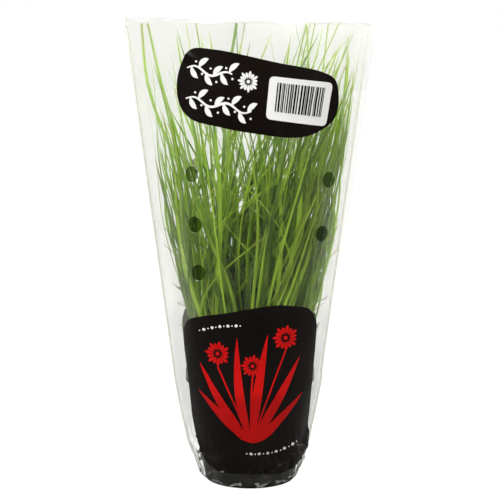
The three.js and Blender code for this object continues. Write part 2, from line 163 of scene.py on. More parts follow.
def dress(piece: Piece, material: Material, slot: Slot, *nodes: str) -> Piece:
    """Give a finished piece its material and its place on the CAD part.

    Args:
        piece: The piece, already in place.
        material: Its finish.
        slot: The record's slot that the finish belongs to; not used.
        *nodes: CAD nodes that the piece stands for.

    Returns:
        The same piece.
    """
    piece.data.materials.clear()
    piece.data.materials.append(material)
    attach(piece, BODY)
    if nodes:
        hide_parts(*nodes)
    triangles = sum(len(face.vertices) - 2 for face in piece.data.polygons)
    log.info("%s: %d triangles", piece.name, triangles)
    return piece


class NodePad:
    """Adds and links the nodes of one tree."""

    def __init__(self, tree: Tree) -> None:
        """Start on a tree."""
        self.tree = tree

    def add(self, kind: str, inputs: dict | None = None, **settings: object) -> Node:
        """Add a node.

        Args:
            kind: The node's type.
            inputs: Value, socket or node, for its first output, of each input by its name or number.
            **settings: The node's own properties.

        Returns:
            The new node.
        """
        node = self.tree.nodes.new(kind)
        for key, value in settings.items():
            setattr(node, key, value)
        for key, value in (inputs or {}).items():
            if isinstance(value, Node):
                value = value.outputs[0]
            if isinstance(value, Socket):
                self.tree.links.new(value, node.inputs[key])
            else:
                node.inputs[key].default_value = value
        return node

    def math(self, operation: str, first: object, second: object = 0.0, clamp: bool = False) -> Socket:
        """Add a Math node and give its result."""
        node = self.add("ShaderNodeMath", {0: first, 1: second}, operation=operation, use_clamp=clamp)
        return node.outputs[0]

    def blend(self, share: object, first: object, second: object) -> Socket:
        """Mix two colours, or sockets of colours, by the share of the second."""
        first, second = ((*c, 1.0) if isinstance(c, tuple) else c for c in (first, second))
        return self.add("ShaderNodeMix", {0: share, 6: first, 7: second}, data_type="RGBA").outputs[2]

    def remap(self, value: object, low: float, high: float, start: float = 0.0, end: float = 1.0) -> Socket:
        """Stretch the range low to high onto start to end, held at its ends."""
        sizes = {"Value": value, "From Min": low, "From Max": high, "To Min": start, "To Max": end}
        return self.add("ShaderNodeMapRange", sizes).outputs["Result"]

    def noise(self, where: Socket, scale: float, detail: float = 2.0, rough: float = 0.5) -> Socket:
        """Add soft noise, about 0.5 in the middle."""
        sizes = {"Vector": where, "Scale": scale, "Detail": detail, "Roughness": rough}
        return self.add("ShaderNodeTexNoise", sizes).outputs["Fac"]

    def attribute(self, name: str) -> Socket:
        """Read a number stored on the piece."""
        return self.add("ShaderNodeAttribute", attribute_name=name).outputs["Fac"]

    def place(self, stretch: Place = (1, 1, 1)) -> Socket:
        """Read the place on the object, stretched along its axes."""
        spot = self.add("ShaderNodeTexCoord").outputs["Object"]
        return self.add("ShaderNodeMapping", {"Vector": spot, "Scale": stretch}).outputs["Vector"]

    def coat(self, mesh: Node, material: Socket) -> None:
        """Set the material of a geometry tree's mesh and put it out."""
        coated = self.add("GeometryNodeSetMaterial", {"Geometry": mesh, "Material": material})
        self.add("NodeGroupOutput", {"Geometry": coated})

    def axes(self) -> Outputs:
        """Read X, Y and Z of the place on the object."""
        spot = self.add("ShaderNodeTexCoord").outputs["Object"]
        return self.add("ShaderNodeSeparateXYZ", {0: spot}).outputs

    def mottle(self, dark: Colour, light: Colour, scale: float, contrast: float) -> Outputs:
        """Add the group that mixes two colours in clouds, and give its outputs."""
        values = {"Dark": (*dark, 1), "Light": (*light, 1), "Scale": scale, "Contrast": contrast}
        return self.add("ShaderNodeGroup", values, node_tree=mottle_group()).outputs


class MaterialPad(NodePad):
    """Adds and links the nodes of a new material."""

    def __init__(self, name: str) -> None:
        """Start the material.

        Args:
            name: Its name.
        """
        self.material = bpy.data.materials.new(name)
        self.material.use_nodes = True
        self.material.node_tree.nodes.clear()
        super().__init__(self.material.node_tree)
        self.out = self.add("ShaderNodeOutputMaterial")

    def finish(self, shader: Node) -> Material:
        """Put a shader on the surface and give the material."""
        self.tree.links.new(shader.outputs[0], self.out.inputs["Surface"])
        return self.material


def shader_group(name: str, inputs: dict[str, tuple[str, object]],
                 outputs: dict[str, str]) -> tuple[NodePad, dict, Node]:
    """Start a shader node group.

    Args:
        name: The group's name.
        inputs: Socket type and starting value of each input.
        outputs: Socket type of each output.

    Returns:
        A pad for its nodes, its input sockets by name and its output node.
    """
    tree = bpy.data.node_groups.new(name, "ShaderNodeTree")
    for key, (kind, value) in inputs.items():
        socket = tree.interface.new_socket(name=key, in_out="INPUT", socket_type=kind)
        socket.default_value = value
    for key, kind in outputs.items():
        tree.interface.new_socket(name=key, in_out="OUTPUT", socket_type=kind)
    pad = NodePad(tree)
    entry = pad.add("NodeGroupInput")
    return pad, {key: entry.outputs[key] for key in inputs}, pad.add("NodeGroupOutput")


def geometry_tree(name: str, inputs: dict[str, tuple[str, object]]) -> tuple[NodePad, Outputs]:
    """Start a geometry tree with a Geometry input and output and a Material input.

    Args:
        name: The tree's name.
        inputs: Socket type and starting value, or None, of each other input.

    Returns:
        A pad for its nodes and its input sockets.
    """
    tree = bpy.data.node_groups.new(name, "GeometryNodeTree")
    every = {"Geometry": ("NodeSocketGeometry", None), **inputs, "Material": ("NodeSocketMaterial", None)}
    for key, (kind, value) in every.items():
        socket = tree.interface.new_socket(name=key, in_out="INPUT", socket_type=kind)
        if value is not None:
            socket.default_value = value
    tree.interface.new_socket(name="Geometry", in_out="OUTPUT", socket_type="NodeSocketGeometry")
    pad = NodePad(tree)
    return pad, pad.add("NodeGroupInput").outputs


def mottle_group() -> Tree:
    """Make the group that turns two colours into a cloudy mix of them.

    Returns:
        The group, with inputs Dark, Light, Scale and Contrast and outputs Colour and Mask.
    """
    found = bpy.data.node_groups.get("Mottle")
    if found:
        return found
    pad, entry, out = shader_group(
        "Mottle",
        {"Dark": ("NodeSocketColor", (0, 0, 0, 1)), "Light": ("NodeSocketColor", (1, 1, 1, 1)),
         "Scale": ("NodeSocketFloat", 100.0), "Contrast": ("NodeSocketFloat", 1.0)},
        {"Colour": "NodeSocketColor", "Mask": "NodeSocketFloat"})
    spot = pad.add("ShaderNodeTexCoord").outputs["Object"]
    cloud = pad.noise(spot, entry["Scale"], 5.0, 0.6)
    level = pad.math("MULTIPLY", pad.math("SUBTRACT", cloud, 0.5), entry["Contrast"])
    mask = pad.math("ADD", level, 0.5, clamp=True)
    colour = pad.blend(mask, entry["Dark"], entry["Light"])
    pad.tree.links.new(colour, out.inputs["Colour"])
    pad.tree.links.new(mask, out.inputs["Mask"])
    return pad.tree


def grain_group() -> Tree:
    """Make the group of fine surface grain over slow unevenness.

    Returns:
        The group, with inputs Scale and Depth and outputs Normal and Roughness Shift.
    """
    found = bpy.data.node_groups.get("Grain")
    if found:
        return found
    pad, entry, out = shader_group(
        "Grain",
        {"Scale": ("NodeSocketFloat", 900.0), "Depth": ("NodeSocketFloat", 0.2)},
        {"Normal": "NodeSocketVector", "Roughness Shift": "NodeSocketFloat"})
    spot = pad.add("ShaderNodeTexCoord").outputs["Object"]
    fine = pad.noise(spot, entry["Scale"], 3.0, 0.6)
    bump = pad.add("ShaderNodeBump", {"Strength": entry["Depth"], "Distance": FINE_RELIEF, "Height": fine})
    slow = pad.noise(spot, 60.0, 2.0)
    pad.tree.links.new(bump.outputs["Normal"], out.inputs["Normal"])
    pad.tree.links.new(pad.math("SUBTRACT", slow, 0.5), out.inputs["Roughness Shift"])
    return pad.tree


@dataclass(frozen=True)
class LeafFinish:
    """Fresh chive leaf: pale foot, green blade with fine lengthwise veins, and tips that may be dry. Its
    green runs from near black to bright: partly the leaves' own uneven tone, partly painted shade.
    """

    name: str = "chive_leaf"
    foot: Colour = (0.46, 0.54, 0.26)
    # The near-black deep end is partly painted shade, standing for leaves in the bunch's shade.
    deep: Colour = (0.017, 0.044, 0.003)
    bright: Colour = (0.312, 0.492, 0.038)
    vein: Colour = (0.38, 0.57, 0.11)
    dry: Colour = (0.33, 0.24, 0.11)
    foot_end: float = 0.10
    vein_count: float = 26.0
    vein_share: float = 0.22
    tint_range: Plan = (0.12, 0.88)
    patch_share: float = 0.16
    roughness: float = 0.46
    specular: float = 0.2
    glow: float = 0.6
    glow_reach: Place = (0.6, 1.0, 0.2)
    glow_depth: float = 0.0022

    def material(self) -> Material:
        """Build the leaf's material."""
        pad = MaterialPad(self.name)
        along, tint = pad.attribute("along"), pad.attribute("tint")
        across, dryness = pad.attribute("across"), pad.attribute("dry")
        patch = pad.noise(pad.place((1, 1, 0.35)), 120.0, 3.0)
        level = pad.remap(tint, *self.tint_range)
        uneven = pad.remap(patch, *CLOUD, -self.patch_share, self.patch_share)
        shade = pad.math("ADD", level, uneven, clamp=True)
        # Each leaf's tint blends deep to bright: partly random tone, partly painted shade.
        body = pad.blend(shade, self.deep, self.bright)
        ripple = pad.math("SINE", pad.math("MULTIPLY", across, self.vein_count))
        body = pad.blend(pad.remap(ripple, 0.2, 1.0, 0.0, self.vein_share), body, self.vein)
        body = pad.blend(pad.remap(along, 0.0, self.foot_end, 1.0, 0.0), body, self.foot)
        body = pad.blend(dryness, body, self.dry)
        bump = pad.add("ShaderNodeBump", {"Strength": 0.35, "Distance": FINE_RELIEF, "Height": ripple})
        rough = pad.remap(patch, *CLOUD, self.roughness - 0.06, self.roughness + 0.1)
        shader = pad.add("ShaderNodeBsdfPrincipled", {
            "Base Color": body, "Roughness": rough, "Normal": bump,
            "Subsurface Weight": self.glow, "Subsurface Radius": self.glow_reach,
            "Subsurface Scale": self.glow_depth, "Specular IOR Level": self.specular})
        return pad.finish(shader)


@dataclass(frozen=True)
class FilmFinish:
    """Clear glossy film that lets most light straight through and spreads a little of it."""

    name: str = "clear_film"
    tint: Colour = (0.978, 0.978, 0.976)
    spread_colour: Colour = (0.97, 0.98, 0.84)
    spread: float = 0.118
    side_spread: float = 0.17
    side_start: Plan = (46.0, 70.0)
    side_run: float = 16.0
    cling: Plan = (0.15, 1.25)
    cling_top: Plan = (22.0, 44.0)
    spread_roughness: float = 0.42
    spread_index: float = 1.25
    gloss_colour: Colour = (0.95, 0.95, 0.93)
    gloss_roughness: float = 0.15
    mirror: float = 0.030
    edge_mirror: float = 0.75
    edge_power: float = 5.0

    def material(self) -> Material:
        """Build the film's material."""
        pad = MaterialPad(self.name)
        cloud = pad.remap(pad.noise(pad.place((1, 1, 0.5)), 45.0, 3.0), 0.3, 0.7, 0.75, 1.25)
        streak = pad.remap(pad.noise(pad.place((1, 1, 0.22)), 170.0, 2.0), 0.38, 0.62, *self.cling)
        spot = pad.axes()
        low = pad.remap(spot["Z"], self.cling_top[0] * MM, self.cling_top[1] * MM, 1.0, 0.0)
        extra = pad.math("MULTIPLY", low, pad.math("SUBTRACT", streak, 1.0))
        cloud = pad.math("MULTIPLY", cloud, pad.math("ADD", 1.0, extra))
        shadow = pad.add("ShaderNodeLightPath").outputs["Is Shadow Ray"]
        spread = pad.math("ADD", pad.math("MULTIPLY", self.side_mask(pad), self.side_spread), self.spread)
        share = pad.math("MULTIPLY", pad.math("MULTIPLY", cloud, spread), pad.math("SUBTRACT", 1.0, shadow))
        clear = pad.add("ShaderNodeBsdfTransparent", {"Color": (*self.tint, 1)})
        milky = pad.add("ShaderNodeBsdfPrincipled", {
            "Base Color": (*self.spread_colour, 1), "Roughness": self.spread_roughness,
            "IOR": self.spread_index, "Transmission Weight": 1.0})
        through = pad.add("ShaderNodeMixShader", {0: share, 1: clear, 2: milky})
        gloss = pad.add("ShaderNodeBsdfPrincipled", {
            "Base Color": (*self.gloss_colour, 1), "Metallic": 1.0, "Roughness": self.gloss_roughness})
        facing = pad.add("ShaderNodeLayerWeight", {"Blend": 0.5}).outputs["Facing"]
        rim = pad.math("MULTIPLY", pad.math("POWER", facing, self.edge_power), self.edge_mirror)
        mirror = pad.math("ADD", rim, self.mirror)
        mix = pad.add("ShaderNodeMixShader", {0: mirror, 1: through, 2: gloss})
        return pad.finish(mix)

    def side_mask(self, pad: NodePad) -> Socket:
        """Give how far each place lies towards a side weld.

        Args:
            pad: Pad of the material.

        Returns:
            A socket that runs from 0 over the middle to 1 at the sides.
        """
        spot = pad.axes()
        start = pad.remap(spot["Z"], 64 * MM, 298 * MM, self.side_start[0] * MM, self.side_start[1] * MM)
        past = pad.math("SUBTRACT", pad.math("ABSOLUTE", spot["X"]), start)
        return pad.math("MULTIPLY", past, 1 / (self.side_run * MM), clamp=True)


@dataclass(frozen=True)
class PlasticFinish:
    """Pot plastic or printed ink: one colour, slightly clouded, under a fine grain."""

    name: str
    dark: Colour
    light: Colour
    roughness: float = 0.13
    cloud_scale: float = 30.0
    contrast: float = 1.6
    grain_scale: float = 1500.0
    grain_depth: float = 0.06
    rough_swing: float = 0.2
    specular: float = 0.22

    def material(self) -> Material:
        """Build the material."""
        pad = MaterialPad(self.name)
        cloud = pad.mottle(self.dark, self.light, self.cloud_scale, self.contrast)
        grain = pad.add("ShaderNodeGroup", {"Scale": self.grain_scale, "Depth": self.grain_depth},
                        node_tree=grain_group()).outputs
        swing = pad.math("MULTIPLY", grain["Roughness Shift"], self.rough_swing)
        rough = pad.math("ADD", swing, self.roughness)
        shader = pad.add("ShaderNodeBsdfPrincipled", {
            "Base Color": cloud["Colour"], "Roughness": rough, "Normal": grain["Normal"],
            "Specular IOR Level": self.specular})
        return pad.finish(shader)


@dataclass(frozen=True)
class SoilFinish:
    """Damp dark potting mix with paler fibres and grit."""

    name: str = "potting_mix"
    dark: Colour = (0.010, 0.006, 0.004)
    light: Colour = (0.075, 0.045, 0.026)
    fibre: Colour = (0.26, 0.18, 0.10)
    cloud_scale: float = 420.0
    contrast: float = 3.0
    roughness: float = 0.9

    def material(self) -> Material:
        """Build the potting mix's material."""
        pad = MaterialPad(self.name)
        cloud = pad.mottle(self.dark, self.light, self.cloud_scale, self.contrast)
        threads = pad.noise(pad.place((1, 0.25, 1)), 900.0, 2.0)
        colour = pad.blend(pad.remap(threads, 0.64, 0.72, 0.0, 0.8), cloud["Colour"], self.fibre)
        bump = pad.add("ShaderNodeBump", {"Strength": 0.8, "Distance": 0.0006, "Height": cloud["Mask"]})
        shader = pad.add("ShaderNodeBsdfPrincipled", {
            "Base Color": colour, "Roughness": self.roughness, "Normal": bump})
        return pad.finish(shader)


@dataclass(frozen=True)
class FloorFinish:
    """Plain pale studio floor, which throws little light back up at the object."""

    name: str = "studio_floor"
    colour: Colour = (0.14, 0.14, 0.139)
    roughness: float = 0.85
    glow: float = 0.91
    bounce: float = 0.12
    backdrop: Plan = (0.12, 0.45)
    backdrop_share: float = 0.8

    def material(self) -> Material:
        """Build the floor's material."""
        pad = MaterialPad(self.name)
        tone = pad.remap(pad.noise(pad.place(), 3.0, 1.0), 0.3, 0.7, 0.985, 1.0)
        colour = pad.blend(tone, (0, 0, 0), self.colour)
        pale = pad.add("ShaderNodeBsdfPrincipled", {
            "Base Color": colour, "Roughness": self.roughness, "Emission Color": (1, 1, 1, 1),
            "Emission Strength": self.glow})
        dull = pad.add("ShaderNodeBsdfDiffuse", {"Color": (self.bounce, self.bounce, self.bounce, 1)})
        path = pad.add("ShaderNodeLightPath").outputs
        direct = pad.math("MAXIMUM", path["Is Camera Ray"], path["Is Transmission Ray"])
        depth = pad.add("ShaderNodeSeparateXYZ", {0: pad.place()}).outputs["Y"]
        seen = pad.math("MAXIMUM", direct, pad.remap(depth, *self.backdrop, 0.0, self.backdrop_share))
        mix = pad.add("ShaderNodeMixShader", {0: seen, 1: dull, 2: pale})
        return pad.finish(mix)


@dataclass(frozen=True)
class Ripples:
    """Sum of plane waves with seeded directions, which makes a smooth random height about 0."""

    seed: int
    around: Plan
    along: Plan
    count: int = 14

    def height(self, girth: Array, z: Array) -> Array:
        """Read the height.

        Args:
            girth: Distance round the film from the middle of its face.
            z: Height.

        Returns:
            The height, mostly from -1 to 1.
        """
        draw = random_source(self.seed)
        (near, far), (short, tall) = self.around, self.along
        total = np.zeros(np.broadcast(girth, z).shape)
        for _ in range(self.count):
            across = (1 if draw() < 0.5 else -1) / (near + (far - near) * draw())
            up = 1 / (short + (tall - short) * draw())
            total += np.sin(2 * math.pi * (girth * across + z * up + draw()))
        return total / math.sqrt(self.count / 2) / 1.6

    def creased(self, girth: Array, z: Array, sharp: float) -> Array:
        """Fold the height about 0, so that it meets in creases, sharp where sharp is small."""
        return np.sqrt(self.height(girth, z) ** 2 + sharp ** 2) - 0.45


@dataclass(frozen=True)
class Crease:
    """One fold on the sleeve's front, from its start to its end as X and Z."""

    start: Plan
    end: Plan
    width: float
    height: float
    bow: float = 0.0

    def rise(self, x: Array, z: Array) -> Array:
        """Give the fold's height at places on the front.

        Args:
            x: Place across.
            z: Height.

        Returns:
            The height in millimetres.
        """
        dx, dz = self.end[0] - self.start[0], self.end[1] - self.start[1]
        length = math.hypot(dx, dz)
        t = ((x - self.start[0]) * dx + (z - self.start[1]) * dz) / length ** 2
        gap = ((x - self.start[0]) * dz - (z - self.start[1]) * dx) / length
        gap = gap - self.bow * 4 * t * (1 - t)
        ends = smooth_step(t, -0.05, 0.2) * (1 - smooth_step(t, 0.75, 1.05))
        return self.height * np.exp(-((gap / self.width) ** 2)) * ends


@dataclass(frozen=True)
class SleeveShape:
    """The film's surface: a round crown on each face, run straight to welds at the sides.

    Widths run across the side welds, a depth is that of the crown in front of the weld plane, and a share
    runs from 0 at the crown to 1 at the right weld or -1 at the left one.
    """

    hem: float = 1.2
    shoulder: float = 64.0
    top: float = 298.0
    hem_depth: float = 30.3
    shoulder_half_width: float = 50.0
    shoulder_depth: float = 43.3
    mouth_half_width: float = 80.0
    mouth_depth: float = 35.0
    mouth_radius: float = 80.0
    mouth_tilt: float = 0.022
    tuck: tuple[Plan, ...] = ((1.2, 30.9), (8, 34), (16, 38.8), (24, 42), (44, 46.4), (64, 50))
    weld_right: float = 4.0
    weld_left: float = 1.2
    flutes: Ripples = Ripples(11, (34, 75), (260, 900), 9)
    buckles: Ripples = Ripples(23, (12, 30), (26, 80), 12)
    patches: Ripples = Ripples(37, (40, 90), (60, 140), 8)
    pleats: Ripples = Ripples(53, (7, 14), (60, 160), 10)
    crumples: Ripples = Ripples(71, (7, 19), (20, 60), 9)
    back_seed: int = 500
    flute_height: float = 0.9
    buckle_height: float = 0.42
    pleat_height: float = 1.15
    pleat_top: float = 52.0
    crumple_height: float = 1.3
    gather_seed: int = 640
    gather_count: int = 30
    crumple_top: Plan = (20.0, 42.0)
    inward_limit: float = -0.85
    outward_limit: float = 1.7
    side_calm: float = 0.85
    side_range: Plan = (0.45, 0.8)
    side_heights: Plan = (12, 30)
    mouth_calm: float = 0.6
    mouth_range: Plan = (215, 270)
    flute_range: Plan = (30, 110)
    hem_hug: Plan = (1.0, 8.0)
    creases: tuple[Crease, ...] = (
        Crease((-4.5, 12), (-8, 62), 0.8, 0.8, 1.0),
        Crease((2.5, 10), (1.0, 46), 0.7, 0.7, -0.8),
        Crease((-34, 30), (-20, 16), 0.9, 1.1, 1.5),
        Crease((-28, 16), (-11, 8), 0.8, 1.0, 0.8),
        Crease((-37, 32), (-33, 30.5), 0.7, 0.8),
        Crease((26, 27), (38, 18), 1.0, 1.1, -1.0),
        Crease((30, 14), (36, 30), 0.8, 0.9, 1.0),
        Crease((-6, 150), (8, 146), 0.8, 0.5, 2.0),
        Crease((-18, 190), (4, 187), 0.8, 0.45, 2.0),
        Crease((-58, 262), (-48, 225), 1.6, 0.9, 1.5),
        Crease((58, 262), (53, 216), 1.6, 0.8, -1.5),
        Crease((-64, 288), (-30, 270), 1.8, 0.7, -2.0),
        Crease((-34, 132), (-17, 121.5), 0.6, 0.7, 1.5),
        Crease((-17, 121.5), (33, 120), 0.6, 0.7, 0.8),
    )

    def section(self, z: Array) -> tuple[Array, Array, Array, Array]:
        """Give the sleeve's section at heights.

        Args:
            z: Heights.

        Returns:
            Half width, crown depth, crown radius and rise above the shoulder from 0 to 1.
        """
        z = np.asarray(z, float)
        swell = self.shoulder_depth - self.hem_depth
        low = self.hem_depth + swell * (z - self.hem) / (self.shoulder - self.hem)
        flare = (z - self.shoulder) / (self.top - self.shoulder)
        below = z < self.shoulder
        tuck_z, tuck_width = zip(*self.tuck)
        wide = self.shoulder_half_width + (self.mouth_half_width - self.shoulder_half_width) * flare
        half_width = np.where(below, np.interp(z, tuck_z, tuck_width), wide)
        depth = np.where(below, low, self.shoulder_depth + (self.mouth_depth - self.shoulder_depth) * flare)
        radius = np.where(below, low, self.shoulder_depth + (self.mouth_radius - self.shoulder_depth) * flare)
        return half_width, depth, radius, np.where(below, 0, flare)

    def quarter(self, z: Array, right: Array) -> tuple[Array, ...]:
        """Give the measures of one quarter of the section.

        Args:
            z: Heights.
            right: Whether each is on the right half, where the weld is wider.

        Returns:
            Crown radius, distance of its centre behind the weld plane, angle where the film leaves it, X of
            the weld, and length of the film round to the weld.
        """
        half_width, depth, radius, _ = self.section(z)
        weld = np.minimum(np.where(right, self.weld_right, self.weld_left), (half_width - depth) / 2)
        weld_x = half_width - weld
        centre = radius - depth
        last = self.leave_angle(weld_x, centre, radius)
        straight = np.hypot(weld_x - radius * np.sin(last), radius * np.cos(last) - centre)
        return radius, centre, last, weld_x, radius * last + straight

    @staticmethod
    def leave_angle(weld_x: Array, centre: Array, radius: Array) -> Array:
        """Find the angle from the crown at which the film leaves it for the weld."""
        reach = np.hypot(weld_x, centre)
        return np.arctan2(weld_x, centre) - np.arccos(np.minimum(1, radius / reach))

    def share_at(self, x: Array, z: Array) -> Array:
        """Find the share round the film of places seen from the front.

        Args:
            x: Place across.
            z: Height.

        Returns:
            The signed share.
        """
        radius, _, last, _, length = self.quarter(z, x >= 0)
        across = np.abs(x)
        edge = radius * np.sin(last)
        on_crown = radius * np.arcsin(np.minimum(1, across / radius))
        beyond = radius * last + (across - edge) / np.cos(last)
        return np.sign(x) * np.where(across <= edge, on_crown, beyond) / length

    def at_share(self, share: Array, z: Array, offset: Array | float, face: Face) -> Array:
        """Place points on the crumpled film.

        Args:
            share: Signed share round the film.
            z: Height.
            offset: Distance out from the plain surface.
            face: Front or back.

        Returns:
            Their X, Y and Z.
        """
        share, z = np.broadcast_arrays(np.asarray(share, float), np.asarray(z, float))
        radius, centre, last, _, length = self.quarter(z, share >= 0)
        run = np.abs(share) * length
        angle = np.minimum(run / radius, last)
        past = np.maximum(run - radius * last, 0)
        out = offset + self.wrinkle(share, z, face)
        across = (radius + out) * np.sin(angle) + past * np.cos(last)
        depth = (radius + out) * np.cos(angle) - centre - past * np.sin(last)
        x = np.sign(share) * across
        lift = self.mouth_tilt * x * self.section(z)[3]
        return np.stack([x, face.value * depth, z - lift], -1)

    def at_view(self, x: Array, z: Array, offset: float, face: Face) -> Array:
        """Place points on the crumpled film by their X and Z."""
        return self.at_share(self.share_at(x, z), z, offset, face)

    def gathers(self, face: Face) -> tuple[Crease, ...]:
        """Give the short slanting folds where the film is gathered in under the pot.

        Args:
            face: Front or back.

        Returns:
            The folds.
        """
        draw = random_source(self.gather_seed + face.value)
        folds = []
        for _ in range(self.gather_count):
            x = (12 + 27 * draw()) * (1 if draw() < 0.5 else -1)
            z = 2 + draw() * (7 + 26 * (x / 38) ** 2)
            half = 5 + 8 * draw()
            slant = math.radians(25 + 50 * draw()) * (1 if x > 0 else -1)
            run, climb = half * math.cos(slant), half * math.sin(slant)
            folds.append(Crease((x - run, z - climb), (x + run, z + climb), 1.1 + 1.3 * draw(),
                                0.7 + 1.3 * draw(), 3 * (draw() - 0.5)))
        return tuple(folds)

    def wrinkle(self, share: Array, z: Array, face: Face) -> Array:
        """Give how far the film stands out from its plain surface.

        Args:
            share: Signed share round the film.
            z: Height.
            face: Front or back.

        Returns:
            The distance in millimetres.
        """
        length = self.quarter(z, share >= 0)[4]
        girth = share * length
        shift = 0 if face is Face.FRONT else self.back_seed
        flute = self.flutes.creased(girth + shift, z, 0.22)
        buckle = self.buckles.creased(girth + shift, z, 0.10)
        patch = smooth_step(self.patches.height(girth + shift, z), -0.2, 0.6)
        pleat = self.pleats.creased(girth + shift, z, 0.06) + 0.35
        tuck = 1 - smooth_step(z, self.hem + 12, self.pleat_top)
        mouth = 1 - self.mouth_calm * smooth_step(z, *self.mouth_range)
        height = self.flute_height * flute * smooth_step(z, *self.flute_range) * mouth
        height = height + self.buckle_height * buckle * patch
        height = height * (1 - 0.7 * tuck) + self.pleat_height * pleat * tuck
        gathered = 1 - smooth_step(z + 9 * (1 - np.abs(share) ** 0.8), *self.crumple_top)
        crumple = self.crumples.creased(girth + shift, z, 0.04) + 0.45
        hug = 0.25 + 0.75 * smooth_step(z, *self.hem_hug)
        calm = self.side_calm * smooth_step(np.abs(share), *self.side_range)
        height = height * (1 - calm * smooth_step(z, *self.side_heights))
        height = height + self.crumple_height * crumple * gathered
        radius, _, last, _, _ = self.quarter(z, share >= 0)
        angle = np.minimum(np.abs(girth) / radius, last)
        across = radius * np.sin(angle) + np.maximum(np.abs(girth) - radius * last, 0) * np.cos(last)
        x = np.sign(share) * across
        folds = self.gathers(face) + (self.creases if face is Face.FRONT else ())
        height = (height + sum(fold.rise(x, z) for fold in folds)) * hug
        height = np.where(z < self.shoulder + 12, np.maximum(height, -0.05), height)
        fade = smooth_step((1 - np.abs(share)) * length, 0.0, 7.0)
        return np.clip(height, self.inward_limit, self.outward_limit + self.crumple_height * gathered) * fade


def tube_faces(rows: int, width: int, base: int = 0) -> list[tuple[int, ...]]:
    """Give the faces of a tube that look out, from its rows of points and the number of its first one."""
    return [(a + i, a + (i + 1) % width, a + width + (i + 1) % width, a + width + i)
            for a in range(base, base + (rows - 1) * width, width) for i in range(width)]


